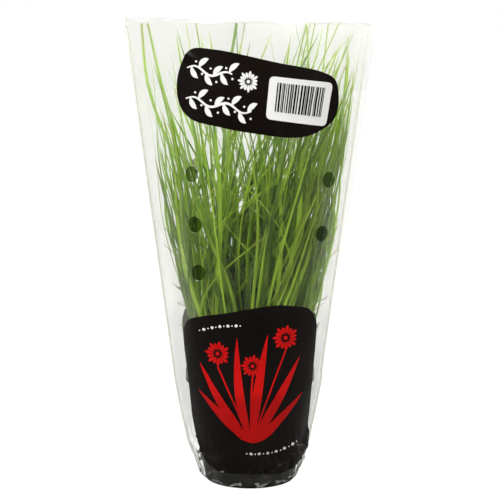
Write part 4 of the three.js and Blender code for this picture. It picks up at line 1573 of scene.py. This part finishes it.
def turned(rings: list[Array], first: float, last: float) -> tuple[Array, list[tuple[int, ...]]]:
    """Join rings of points into a closed shell.

    Args:
        rings: Points of each ring, in order along the outline.
        first: Height of the middle point that closes the first ring.
        last: Height of the middle point that closes the last one.

    Returns:
        Its points and faces.
    """
    count, sides = len(rings), len(rings[0])
    points = np.concatenate(rings + [[[0, 0, first]], [[0, 0, last]]])
    faces, end = [], (count - 1) * sides
    for i in range(sides):
        j = (i + 1) % sides
        faces += [(r * sides + i, r * sides + j, (r + 1) * sides + j, (r + 1) * sides + i)
                  for r in range(count - 1)]
        faces += [(count * sides, j, i), (count * sides + 1, end + i, end + j)]
    return points, faces


@dataclass
class Pot:
    """Round plastic pot with a collar, a foot ring and a raised floor with drain holes."""

    finish: PlasticFinish = PlasticFinish(
        "pot_plastic", (0.0034, 0.0028, 0.0024), (0.0085, 0.0070, 0.0058), roughness=0.42, cloud_scale=70.0,
        contrast=1.8, grain_scale=1800.0, grain_depth=0.35, rough_swing=0.5, specular=0.3)
    height: float = 73.0
    wall: float = 1.1
    floor: float = 1.3
    foot_radius: float = 29.5
    foot_ring: float = 8.5
    foot_rise: float = 1.4
    neck_radius: float = 40.2
    collar_radius: float = 42.2
    collar_height: float = 7.0
    collar_slope: float = 0.4
    drain_radius: float = 4.0
    drain_circle: float = 13.0
    drains: int = 4
    sides: int = 112
    lip: float = 0.45

    def profile(self) -> list[Plan]:
        """Give the wall's outline, as radius and height, from the underside round to the floor inside."""
        collar = self.height - self.collar_height
        foot, neck, rise = self.foot_radius, self.neck_radius, self.foot_rise
        inside, base = foot - self.wall, rise + self.floor
        ring_inner = foot - self.foot_ring
        lip, high = self.lip, self.height
        outer, inner = self.collar_radius, self.collar_radius - self.wall
        return [
            (0, rise), (ring_inner - rise, rise), (ring_inner - 0.3, 0.25), (ring_inner, 0), (foot - 0.7, 0),
            (foot - 0.2, 0.2), (foot, 0.7), (foot + 0.05, 1.2),
            (neck - 0.1, collar - self.collar_slope - 0.6), (neck, collar - self.collar_slope),
            (outer - 0.25, collar - 0.1), (outer, collar + 0.3),
            (outer, collar + 1.2), (outer - 0.12, collar + 1.6), (outer - 0.12, high - 2.2),
            (outer, high - 1.8), (outer, high - lip), (outer - 0.13, high - 0.13), (outer - lip, high),
            (inner + 0.2, high), (inner, high - 0.3), (inner, collar + self.wall), (neck - self.wall, collar),
            (inside, base + 0.8), (inside - 0.8, base), (0, base)]

    def build(self) -> Piece:
        """Turn the pot and cut its drain holes.

        Returns:
            The piece.
        """
        profile = self.profile()
        rings = [np.column_stack([circle(r, self.sides), np.full(self.sides, z)]) for r, z in profile[1:-1]]
        pot = mesh_object("pot_shell", *turned(rings, profile[0][1], profile[-1][1]))
        self.cut_drains(pot)
        pot.data.polygons.foreach_set("use_smooth", [True] * len(pot.data.polygons))
        pot.data.set_sharp_from_angle(angle=math.radians(40))
        return dress(pot, self.finish.material(), Slot.POT, "pot")

    def cut_drains(self, pot: Piece) -> None:
        """Cut the drain holes through the floor.

        Args:
            pot: The turned pot.
        """
        model = bmesh.new()
        for i in range(self.drains):
            angle = (i + 0.5) * 2 * math.pi / self.drains
            made = bmesh.ops.create_cone(model, cap_ends=True, segments=32, radius1=self.drain_radius * MM,
                                         radius2=self.drain_radius * MM, depth=20 * MM)
            where = Vector((self.drain_circle * math.cos(angle), self.drain_circle * math.sin(angle), 0)) * MM
            bmesh.ops.translate(model, verts=made["verts"], vec=where)
        mesh = bpy.data.meshes.new("drain_cutters")
        model.to_mesh(mesh)
        model.free()
        cutters = bpy.data.objects.new("drain_cutters", mesh)
        bpy.context.scene.collection.objects.link(cutters)
        cut = pot.modifiers.new("drains", "BOOLEAN")
        cut.object, cut.operation, cut.solver = cutters, "DIFFERENCE", "EXACT"
        result = evaluated_mesh(pot)
        pot.modifiers.remove(cut)
        pot.data = result
        bpy.data.objects.remove(cutters)


@dataclass
class Soil:
    """Crumbly potting mix that fills the pot round the clumps' sheaths."""

    rule: LeafRule
    finish: SoilFinish = SoilFinish()
    top: float = 64.5
    relief: float = 1.1
    floor: float = 3.0
    floor_radius: float = 28.3
    wall_radius: float = 38.1
    rim_run: float = 0.3
    rim_drop: float = 0.6
    rings: int = 46
    sectors: int = 120
    crumb_seed: int = 5
    crumbs_per_square: float = 0.16
    crumb_size: Plan = (0.45, 1.5)

    def height(self, x: Array, y: Array) -> Array:
        """Give the height of the crumbly top, pressed down a little round each clump.

        Args:
            x: Places across.
            y: Places in depth.

        Returns:
            Heights above the floor.
        """
        coarse = np.sin(0.31 * x + 1.3) * np.cos(0.27 * y - 0.6)
        fine = np.sin(0.93 * x - 0.71 * y) * np.cos(0.83 * y + 0.37 * x + 2.1)
        grit = np.sin(2.9 * x + 1.7 * y) * np.sin(2.3 * y - 1.9 * x + 0.7) + 0.6 * np.sin(5.1 * x - 4.3 * y)
        return self.top + self.relief * (0.55 * coarse + 0.45 * fine) + 0.22 * grit

    def build(self) -> None:
        """Build the filling and scatter crumbs over its top."""
        low, rim = circle(self.floor_radius, self.sectors), circle(self.wall_radius, self.sectors)
        rings = [np.column_stack([low, np.full(self.sectors, self.floor)]),
                 np.column_stack([rim, self.height(*rim.T) - self.rim_drop])]
        for i in range(self.rings, 0, -1):
            ring = circle((self.wall_radius - self.rim_run) * i / self.rings, self.sectors)
            rings.append(np.column_stack([ring, self.height(*ring.T)]))
        middle = float(self.height(np.zeros(1), np.zeros(1))[0])
        points, faces = turned(rings, self.floor, middle)
        material = self.finish.material()
        filling = mesh_object("potting_mix", points, faces)
        bed = mesh_object("crumb_bed", points, [f for f in faces if min(f) >= 2 * self.sectors])
        crumbs = grow(bed, self.crumb_tree(), "potting_mix_crumbs", {
            "Density": self.crumbs_per_square / MM ** 2, "Smallest": self.crumb_size[0] * MM,
            "Largest": self.crumb_size[1] * MM, "Seed": self.crumb_seed, "Material": material})
        crumbs.data.polygons.foreach_set("use_smooth", [False] * len(crumbs.data.polygons))
        dress(filling, material, Slot.SOIL, "soil")
        dress(crumbs, material, Slot.SOIL)

    def crumb_tree(self) -> Tree:
        """Make the geometry tree that scatters crumbs over the top.

        Returns:
            The tree, with inputs for how many, how large, the seed and the material.
        """
        pad, entry = geometry_tree("Scatter crumbs", {
            "Density": ("NodeSocketFloat", None), "Smallest": ("NodeSocketFloat", None),
            "Largest": ("NodeSocketFloat", None), "Seed": ("NodeSocketInt", None)})
        spots = pad.add("GeometryNodeDistributePointsOnFaces", {
            "Mesh": entry["Geometry"], "Density": entry["Density"], "Seed": entry["Seed"]})
        turn = pad.add("FunctionNodeRandomValue", {
            "Min": (0, 0, 0), "Max": (6.28, 6.28, 6.28), "Seed": entry["Seed"]}, data_type="FLOAT_VECTOR")
        stretch = pad.add("FunctionNodeRandomValue", {
            "Min": (0.6, 0.6, 0.5), "Max": (1.5, 1.1, 0.9), "Seed": entry["Seed"]}, data_type="FLOAT_VECTOR")
        size = pad.add("FunctionNodeRandomValue", {
            2: entry["Smallest"], 3: entry["Largest"], "Seed": entry["Seed"]}, data_type="FLOAT")
        scale = pad.add("ShaderNodeVectorMath", {0: stretch, "Scale": size.outputs[1]}, operation="SCALE")
        lump = pad.add("GeometryNodeMeshIcoSphere", {"Radius": 1.0, "Subdivisions": 2})
        placed = pad.add("GeometryNodeInstanceOnPoints", {
            "Points": spots, "Instance": lump,
            "Rotation": turn, "Scale": scale})
        whole = pad.add("GeometryNodeRealizeInstances", {"Geometry": placed})
        rugged = pad.add("ShaderNodeTexNoise", {"Scale": 1500.0, "Detail": 1.0})
        off = pad.add("ShaderNodeVectorMath", {0: rugged.outputs["Color"], 1: (0.5, 0.5, 0.5)},
                      operation="SUBTRACT")
        small = pad.add("ShaderNodeVectorMath", {0: off, "Scale": 0.6 * MM}, operation="SCALE")
        shaken = pad.add("GeometryNodeSetPosition", {"Geometry": whole, "Offset": small})
        pad.coat(shaken, entry["Material"])
        return pad.tree


@dataclass
class Sheet2D:
    """Flat mesh in the front view, as X and Z, that is laid on the film as a thin closed layer."""

    points: list[Plan] = field(default_factory=list)
    faces: list[tuple[int, ...]] = field(default_factory=list)

    def add(self, points: Sequence[Plan], faces: Sequence[Sequence[int]]) -> None:
        """Add a patch of points and faces.

        Args:
            points: The patch's points.
            faces: Point numbers of each face, from 0.
        """
        base = len(self.points)
        self.points += [(float(x), float(z)) for x, z in points]
        self.faces += [tuple(base + i for i in face) for face in faces]

    def ribbon(self, line: Array, half_width: Array, lanes: int = 2) -> None:
        """Add a stroke along a line.

        Args:
            line: Points of its middle.
            half_width: Half its width at each point.
            lanes: Number of faces across it.
        """
        along = np.gradient(line, axis=0)
        along /= np.linalg.norm(along, axis=1)[:, None]
        side = np.column_stack([-along[:, 1], along[:, 0]])
        across = np.linspace(-1, 1, lanes + 1)
        grid = line[:, None] + side[:, None] * (half_width[:, None] * across)[..., None]
        wide = lanes + 1
        faces = [(r * wide + i, (r + 1) * wide + i, (r + 1) * wide + i + 1, r * wide + i + 1)
                 for r in range(len(line) - 1) for i in range(lanes)]
        self.add(grid.reshape(-1, 2), faces)

    def disc(self, centre: Plan, radius: float, sides: int = 16) -> None:
        """Add a round dot.

        Args:
            centre: Its place.
            radius: Its radius.
            sides: Number of points round it.
        """
        turn = np.arange(sides) * 2 * math.pi / sides
        ring = [(centre[0] + radius * math.cos(a), centre[1] + radius * math.sin(a)) for a in turn]
        self.add([centre, *ring], [(0, i + 1, (i + 1) % sides + 1) for i in range(sides)])

    def fill(self, outline: Sequence[Plan], spacing: float) -> None:
        """Fill an outline with even triangles.

        Args:
            outline: Points round it.
            spacing: Distance between the points inside.
        """
        loop = np.array(outline)
        low, high = loop.min(0), loop.max(0)
        rows = np.arange(low[1] + spacing / 2, high[1], spacing * 0.866)
        inside = []
        for number, z in enumerate(rows):
            for x in np.arange(low[0] + (number % 2) * spacing / 2, high[0], spacing):
                if self.contains(loop, x, z, spacing * 0.45):
                    inside.append((x, z))
        size = len(loop)
        made = delaunay_2d_cdt([Vector(p) for p in [*map(tuple, loop), *inside]],
                               [(i, (i + 1) % size) for i in range(size)], [list(range(size))], 1, 1e-5)
        self.add([(p.x, p.y) for p in made[0]], made[2])

    @staticmethod
    def contains(loop: Array, x: float, z: float, margin: float) -> bool:
        """Tell whether a place is inside a loop and clear of its edge.

        Args:
            loop: Points round the loop.
            x: Place across.
            z: Height.
            margin: Distance kept from the edge.

        Returns:
            Whether it is.
        """
        ahead = np.roll(loop, -1, axis=0)
        run = ahead - loop
        reach = (x - loop[:, 0]) * run[:, 0] + (z - loop[:, 1]) * run[:, 1]
        share = np.clip(reach / (run ** 2).sum(1), 0, 1)
        gap = np.hypot(loop[:, 0] + share * run[:, 0] - x, loop[:, 1] + share * run[:, 1] - z)
        crossing = (loop[:, 1] > z) != (ahead[:, 1] > z)
        rise = np.where(crossing, ahead[:, 1] - loop[:, 1], 1)
        cut = loop[:, 0] + (z - loop[:, 1]) / rise * run[:, 0]
        return bool((crossing & (x < cut)).sum() % 2) and float(gap.min()) > margin

    def lay(self, name: str, shape: SleeveShape, low: float, high: float, face: Face) -> Piece:
        """Lay the flat mesh on the film as a closed layer.

        Args:
            name: The piece's name.
            shape: The film's surface.
            low: Where the layer starts, out from the plain surface.
            high: Where it ends.
            face: Front or back.

        Returns:
            The piece.
        """
        flat = np.array(self.points)
        area = [sum(flat[a][0] * flat[b][1] - flat[b][0] * flat[a][1] for a, b in zip(f, f[1:] + f[:1]))
                for f in self.faces]
        outward = [f if (s > 0) == (face is Face.FRONT) else f[::-1] for f, s in zip(self.faces, area)]
        size = len(flat)
        points = np.concatenate([shape.at_view(flat[:, 0], flat[:, 1], high, face),
                                 shape.at_view(flat[:, 0], flat[:, 1], low, face)])
        faces = outward + [tuple(size + i for i in f[::-1]) for f in outward]
        edges = Counter((a, b) for f in outward for a, b in zip(f, f[1:] + f[:1]))
        faces += [(b, a, size + a, size + b) for a, b in edges if (b, a) not in edges]
        piece = mesh_object(name, points, faces)
        piece.data.set_sharp_from_angle(angle=math.radians(50))
        return piece


def smooth_loop(points: Sequence[Plan], count: int) -> list[Plan]:
    """Run a smooth closed curve through given points.

    Args:
        points: Points that it passes.
        count: Number of points to give back, evenly spaced.

    Returns:
        Points on the curve.
    """
    knots = [np.array(p, float) for p in points]
    size, path = len(knots), []
    for i in range(size):
        quad = [knots[(i + k) % size] for k in (-1, 0, 1, 2)]
        steps = [max(np.linalg.norm(b - a) ** 0.5, 1e-6) for a, b in zip(quad, quad[1:])]
        (a, b, c, d), (p, q, r) = quad, steps
        into = (b - a) / p - (c - a) / (p + q) + (c - b) / q
        away = (c - b) / q - (d - b) / (q + r) + (d - c) / r
        for t in np.linspace(0, 1, 24, endpoint=False):
            path.append((2 * t ** 3 - 3 * t ** 2 + 1) * b + (t ** 3 - 2 * t ** 2 + t) * into * q
                        + (3 * t ** 2 - 2 * t ** 3) * c + (t ** 3 - t ** 2) * away * q)
    return evenly(path, count=count)


def evenly(points: Sequence[Plan], spacing: float = 1.0, count: int = 0) -> list[Plan]:
    """Spread points evenly round a closed outline.

    Args:
        points: The outline's own points.
        spacing: Distance between the points that are given back.
        count: Number of them, if it is given in place of a spacing.

    Returns:
        Points on the outline.
    """
    path = np.array([*points, points[0]], float)
    run = np.concatenate([[0], np.cumsum(np.linalg.norm(np.diff(path, axis=0), axis=1))])
    count = count or int(run[-1] / spacing)
    even = np.arange(count) * run[-1] / count
    return [(float(np.interp(d, run, path[:, 0])), float(np.interp(d, run, path[:, 1]))) for d in even]


def stroke(points: Sequence[Plan], steps: int = 26) -> Array:
    """Run a smooth open line through a few points.

    Args:
        points: Two, three or four control points of a Bezier curve.
        steps: Number of points to give back.

    Returns:
        Points on the line.
    """
    knots = [np.array(p, float) for p in points]
    t = np.linspace(0, 1, steps)[:, None]
    degree = len(knots) - 1
    return sum(math.comb(degree, i) * t ** i * (1 - t) ** (degree - i) * knot for i, knot in enumerate(knots))


@dataclass
class Drawing(Sheet2D):
    """Sheet of drawn leaves, flower heads and vines."""

    petal_count: int = 15
    vine_swing: float = 2.0
    vine_width: float = 0.78

    def blade(self, points: Sequence[Plan], width: float, fullest: float = 0.4) -> None:
        """Draw a leaf-shaped stroke that is pointed at both ends.

        Args:
            points: Its control points.
            width: Its full width.
            fullest: Share along it where it is widest.
        """
        line = stroke(points)
        t = np.linspace(0, 1, len(line))
        form = np.where(t < fullest, t / fullest, (1 - t) / (1 - fullest))
        self.ribbon(line, np.maximum(width / 2 * np.sin(form * math.pi / 2) ** 0.8, 0.06), 2)

    def flower(self, centre: Plan, radius: float, lean: float = 0.0) -> None:
        """Draw a round flower head of short petals.

        Args:
            centre: Its middle.
            radius: Its radius.
            lean: Turn of the whole head.
        """
        for i in range(self.petal_count):
            a = lean + i * 2 * math.pi / self.petal_count
            near, far = radius * 0.30, radius * (1.0 if i % 2 else 0.86)
            ends = [(centre[0] + r * math.cos(a), centre[1] + r * math.sin(a)) for r in (near, far)]
            self.blade(ends, radius * 0.25, 0.66)
        self.disc(centre, radius * 0.16)

    def vine(self, start: Plan, end: Plan, waves: float, leaves: int, size: float) -> None:
        """Draw a waving stem with a leaf at every bend.

        Args:
            start: Where the stem starts.
            end: Where it ends.
            waves: Number of waves along it.
            leaves: Number of leaves.
            size: Length of a leaf.
        """
        along = np.subtract(end, start)
        length = float(np.hypot(*along))
        ahead = along / length
        aside = np.array([-ahead[1], ahead[0]])
        t = np.linspace(0, 1, 90)
        swing = self.vine_swing * np.sin(t * waves * 2 * math.pi)
        line = np.array(start) + t[:, None] * along + swing[:, None] * aside
        self.ribbon(line, self.vine_width * (0.55 + 0.45 * np.sin(t * math.pi)), 2)
        for i in range(leaves):
            k = int((i + 0.6) / leaves * 89)
            side = 1 if i % 2 else -1
            tip = line[k] + size * (0.62 * ahead + 0.78 * side * aside)
            bow = line[k] + size * (0.16 * ahead + 0.60 * side * aside)
            self.blade([tuple(line[k]), tuple(bow), tuple(tip)], size * 0.40, 0.5)
            dot = line[k] + size * (0.30 * ahead - 0.42 * side * aside)
            self.disc((float(dot[0]), float(dot[1])), size * 0.085, 14)


@dataclass
class Panels:
    """The printed panels on the film, with a plain drawn pattern of sprigs and flower heads."""

    shape: SleeveShape
    black: PlasticFinish = PlasticFinish(
        "print_black", (0.0008, 0.0004, 0.0002), (0.0130, 0.0085, 0.0066), roughness=0.16, cloud_scale=13.0)
    white: PlasticFinish = PlasticFinish("print_white", (0.89, 0.89, 0.87), (0.94, 0.94, 0.92), 0.32)
    red: PlasticFinish = PlasticFinish("print_red", (0.56, 0.0035, 0.003), (0.72, 0.007, 0.006), 0.30)
    base: Plan = (0.52, 0.60)
    label: Plan = (0.68, 0.74)
    ink: Plan = (0.82, 0.88)
    spacing: float = 1.4
    outline_points: int = 210
    upper: tuple[Plan, ...] = (
        (-23, 280.2), (-36.7, 279.5), (-44.5, 264), (-44, 246.3), (-37, 237.3), (-18, 232.6), (1.5, 229.4),
        (30.1, 226.7), (42.8, 230.2), (52.5, 237.5), (55.4, 247.5), (53.4, 262), (45.7, 267), (16.5, 272.9))
    code: tuple[Plan, ...] = ((12, 264.7), (51.6, 260.5), (47.1, 233.2), (9.5, 238.4))
    code_corner: float = 3.2
    lower: tuple[Plan, ...] = (
        (-41.6, 104.5), (-42, 99), (-40.4, 82), (-38.2, 60), (-36.6, 42), (-32.5, 27), (-25.5, 16.5),
        (-18, 11.8), (4, 11), (21, 10.8), (30, 14), (35.4, 23), (37.6, 42), (39.2, 66), (41.6, 94),
        (41.8, 109), (37.5, 117.2), (26, 121), (12.8, 121.9), (-12.8, 117.5), (-37.5, 110.5))
    back: tuple[Plan, ...] = (
        (-44, 105), (-43.6, 88), (-40.4, 60), (-37.6, 38), (-31.5, 20), (-20, 12.4), (0, 11.5), (20, 12.4),
        (31.5, 20), (37.6, 38), (40.4, 60), (43, 88), (42.4, 107), (37, 112), (0, 112.8), (-39.6, 111.6))
    bar_seed: int = 61
    bar_widths: tuple[float, ...] = (0.4, 0.4, 0.75, 0.75, 1.1)
    bar_field: tuple[float, float, float, float] = (0.13, 0.90, 0.13, 0.80)

    def panel(self, name: str, outline: Sequence[Plan], face: Face, material: Material, node: str) -> None:
        """Build one dark panel.

        Args:
            name: The piece's name.
            outline: Points that its edge runs through.
            face: Front or back.
            material: Its ink.
            node: The CAD node that it stands for.
        """
        sheet = Sheet2D()
        sheet.fill(smooth_loop(outline, self.outline_points), self.spacing)
        dress(sheet.lay(name, self.shape, *self.base, face), material, Slot.BLACK, node)

    def code_place(self, u: float, v: float) -> Plan:
        """Find a place in the white label from its shares across and down.

        Args:
            u: Share across.
            v: Share down.

        Returns:
            The place.
        """
        a, b, c, d = (np.array(p, float) for p in self.code)
        spot = (a * (1 - u) + b * u) * (1 - v) + (d * (1 - u) + c * u) * v
        return float(spot[0]), float(spot[1])

    def code_label(self) -> list[Plan]:
        """Give the white label's outline with its rounded corners."""
        corners = [np.array(p, float) for p in self.code]
        outline = []
        for i, corner in enumerate(corners):
            before, after = corners[i - 1] - corner, corners[(i + 1) % 4] - corner
            before = corner + before / np.linalg.norm(before) * self.code_corner
            after = corner + after / np.linalg.norm(after) * self.code_corner
            outline += [tuple(p) for p in stroke([before, corner, after], 8)]
        return evenly(outline, self.spacing)

    def bars(self) -> Sheet2D:
        """Rule plain upright bars of uneven width on the white label."""
        draw = random_source(self.bar_seed)
        sheet = Sheet2D()
        left, right, top, bottom = self.bar_field
        width = math.dist(self.code_place(left, 0.5), self.code_place(right, 0.5))
        at = 0.0
        while at < width - 0.4:
            bar = self.bar_widths[int(draw() * len(self.bar_widths))]
            start, end = (left + (right - left) * min(p, width) / width for p in (at, at + bar))
            rows = [[self.code_place(start, v), self.code_place(end, v)] for v in np.linspace(top, bottom, 9)]
            points = [p for row in rows for p in row]
            sheet.add(points, [(2 * r, 2 * r + 2, 2 * r + 3, 2 * r + 1) for r in range(len(rows) - 1)])
            at += bar + self.bar_widths[int(draw() * len(self.bar_widths))]
        return sheet

    def upper_drawing(self) -> Drawing:
        """Draw the upper panel's white vines and their flower."""
        sheet = Drawing()
        sheet.vine((-38.5, 268.5), (-11, 264.0), 1.4, 6, 8.2)
        sheet.vine((-39.5, 249.5), (1.0, 243.0), 2.0, 8, 8.2)
        sheet.flower((-1.0, 261.0), 6.6, 0.1)
        return sheet

    def lower_drawing(self) -> Drawing:
        """Draw the lower panel's red spray of leaves and flower heads."""
        sheet = Drawing()
        foot = (1.0, 33.0)
        sprays = (
            ((-32, 66), (-12, 44), 5.6), ((-31, 84), (-15, 50), 5.6), ((-8, 102), (-9, 60), 5.8),
            ((11, 104), (3, 62), 6.0), ((31, 88), (14, 54), 5.8), ((33, 64), (14, 42), 5.4),
            ((-19, 54), (-8, 38), 4.0), ((22, 50), (10, 36), 4.0))
        for end, bow, width in sprays:
            sheet.blade([foot, bow, end], width, 0.45)
        heads = (((-20, 91), (-9, 58), 8.0), ((1.5, 84), (0, 58), 7.4), ((22, 101), (10, 62), 8.2))
        for head, bow, radius in heads:
            line = stroke([foot, bow, (head[0], head[1] - radius)])
            sheet.ribbon(line, np.full(len(line), 0.55))
            sheet.flower(head, radius, 0.15)
        return sheet

    def lower_dots(self) -> Drawing:
        """Dot the lower panel's white borders."""
        sheet = Drawing()
        rows = (((-31, 104.5), (-6, 109.5), 1.4, 11), ((-2, 25.5), (29, 29.5), -2.0, 13))
        for start, end, bow, count in rows:
            for i in range(count):
                t = i / (count - 1)
                x = start[0] + (end[0] - start[0]) * t
                z = start[1] + (end[1] - start[1]) * t + bow * math.sin(t * math.pi)
                sheet.disc((x, z), 0.45 + 0.5 * (i % 2), 14)
        return sheet

    def build(self) -> None:
        """Build the panels, the label and their drawings."""
        black, white, red = self.black.material(), self.white.material(), self.red.material()
        self.panel("upper_print", self.upper, Face.FRONT, black, "panel_upper")
        self.panel("lower_print", self.lower, Face.FRONT, black, "panel_lower")
        self.panel("back_print", self.back, Face.BACK, black, "panel_back")
        label = Sheet2D()
        label.fill(self.code_label(), self.spacing)
        dress(label.lay("white_label", self.shape, *self.label, Face.FRONT), white, Slot.WHITE, "panel_code")
        drawings = (("label_bars", self.bars(), black, Slot.BLACK),
                    ("upper_sprigs", self.upper_drawing(), white, Slot.WHITE),
                    ("lower_spray", self.lower_drawing(), red, Slot.WHITE),
                    ("lower_dots", self.lower_dots(), white, Slot.WHITE))
        for name, sheet, ink, slot in drawings:
            dress(sheet.lay(name, self.shape, *self.ink, Face.FRONT), ink, slot)


@dataclass
class Studio:
    """Floor, lights and the photograph's camera."""

    camera_place: Place = (0.0, -950.0, 294.35)
    camera_pitch: float = 8.574
    lens: float = 106.67
    floor_half: float = 6000.0
    ambient: float = 0.45
    backdrop: Plan = (0.05, 0.6)
    backdrop_level: float = 0.75
    softboxes: tuple[tuple[str, Place, Plan, float], ...] = (
        ("left", (-620, -560, 900), (520, 700), 10.2), ("right", (640, -500, 900), (420, 640), 6.4),
        ("top", (0, 60, 1000), (900, 700), 8.6), ("back", (250, 700, 560), (600, 500), 3.6))

    def build(self) -> None:
        """Set up the floor, the surroundings, the lights and the camera."""
        view = bpy.data.cameras.new("photo_camera")
        view.lens, view.sensor_width, view.clip_start, view.clip_end = self.lens, 36.0, 0.01, 100.0
        camera = bpy.data.objects.new("photo_camera", view)
        camera.location = [c * MM for c in self.camera_place]
        camera.rotation_euler = (math.radians(90 - self.camera_pitch), 0, 0)
        bpy.context.scene.collection.objects.link(camera)
        bpy.context.scene.camera = camera
        side = self.floor_half
        corners = np.array([(-side, -side, 0), (side, -side, 0), (side, side, 0), (-side, side, 0)])
        floor = mesh_object("studio_floor", corners, [(0, 1, 2, 3)], smooth=False)
        floor.data.materials.append(FloorFinish().material())
        self.surroundings()
        for side_name, place, size, power in self.softboxes:
            self.softbox(f"{side_name}_softbox", place, size, power)
        bpy.context.scene.view_settings.view_transform = "Standard"
        bpy.context.scene.cycles.transparent_max_bounces = 32

    def surroundings(self) -> None:
        """Light the room evenly from its sides and above, with a white backdrop."""
        world = bpy.data.worlds.new("studio")
        bpy.context.scene.world = world
        world.use_nodes = True
        world.node_tree.nodes.clear()
        pad = NodePad(world.node_tree)
        way = pad.add("ShaderNodeSeparateXYZ", {0: pad.add("ShaderNodeTexCoord").outputs["Generated"]})
        side = pad.math("MULTIPLY", pad.math("POWER", pad.math("ABSOLUTE", way.outputs["X"]), 2.0), 0.7)
        above = pad.math("MULTIPLY", pad.math("MAXIMUM", way.outputs["Z"], 0.0), 0.9)
        level = pad.math("ADD", pad.math("ADD", side, above), 0.12)
        behind = pad.remap(way.outputs["Y"], *self.backdrop, 0.0, self.backdrop_level)
        strength = pad.math("ADD", pad.math("MULTIPLY", level, self.ambient), behind)
        room = pad.add("ShaderNodeBackground", {"Color": (1, 1, 1, 1), "Strength": strength})
        white = pad.add("ShaderNodeBackground", {"Color": (1, 1, 1, 1), "Strength": 1.0})
        path = pad.add("ShaderNodeLightPath").outputs
        seen = pad.math("MAXIMUM", path["Is Camera Ray"], path["Is Transmission Ray"])
        mix = pad.add("ShaderNodeMixShader", {0: seen, 1: room, 2: white})
        pad.add("ShaderNodeOutputWorld", {"Surface": mix})

    @staticmethod
    def softbox(name: str, place: Place, size: Plan, power: float) -> None:
        """Hang one softbox that points at the middle of the object.

        Args:
            name: Its name.
            place: Where it hangs.
            size: Its width and height.
            power: Its power in watts.
        """
        lamp = bpy.data.lights.new(name, "AREA")
        lamp.shape, lamp.size, lamp.size_y, lamp.energy = "RECTANGLE", size[0] * MM, size[1] * MM, power
        lamp.color = (1.0, 0.985, 0.96)
        box = bpy.data.objects.new(name, lamp)
        box.location = [c * MM for c in place]
        aim = Vector((0, 0, AIM_HEIGHT * MM)) - box.location
        box.rotation_euler = aim.to_track_quat("-Z", "Y").to_euler()
        bpy.context.scene.collection.objects.link(box)


def main() -> None:
    """Build the whole part in order."""
    logging.basicConfig(level=logging.INFO, format="%(name)s: %(message)s")
    Studio().build()
    shape = SleeveShape()
    rule = LeafRule(shape)
    Pot().build()
    Soil(rule).build()
    LeafStand(rule).build()
    Film(shape).build()
    Panels(shape).build()


if __name__ == "__main__":
    main()
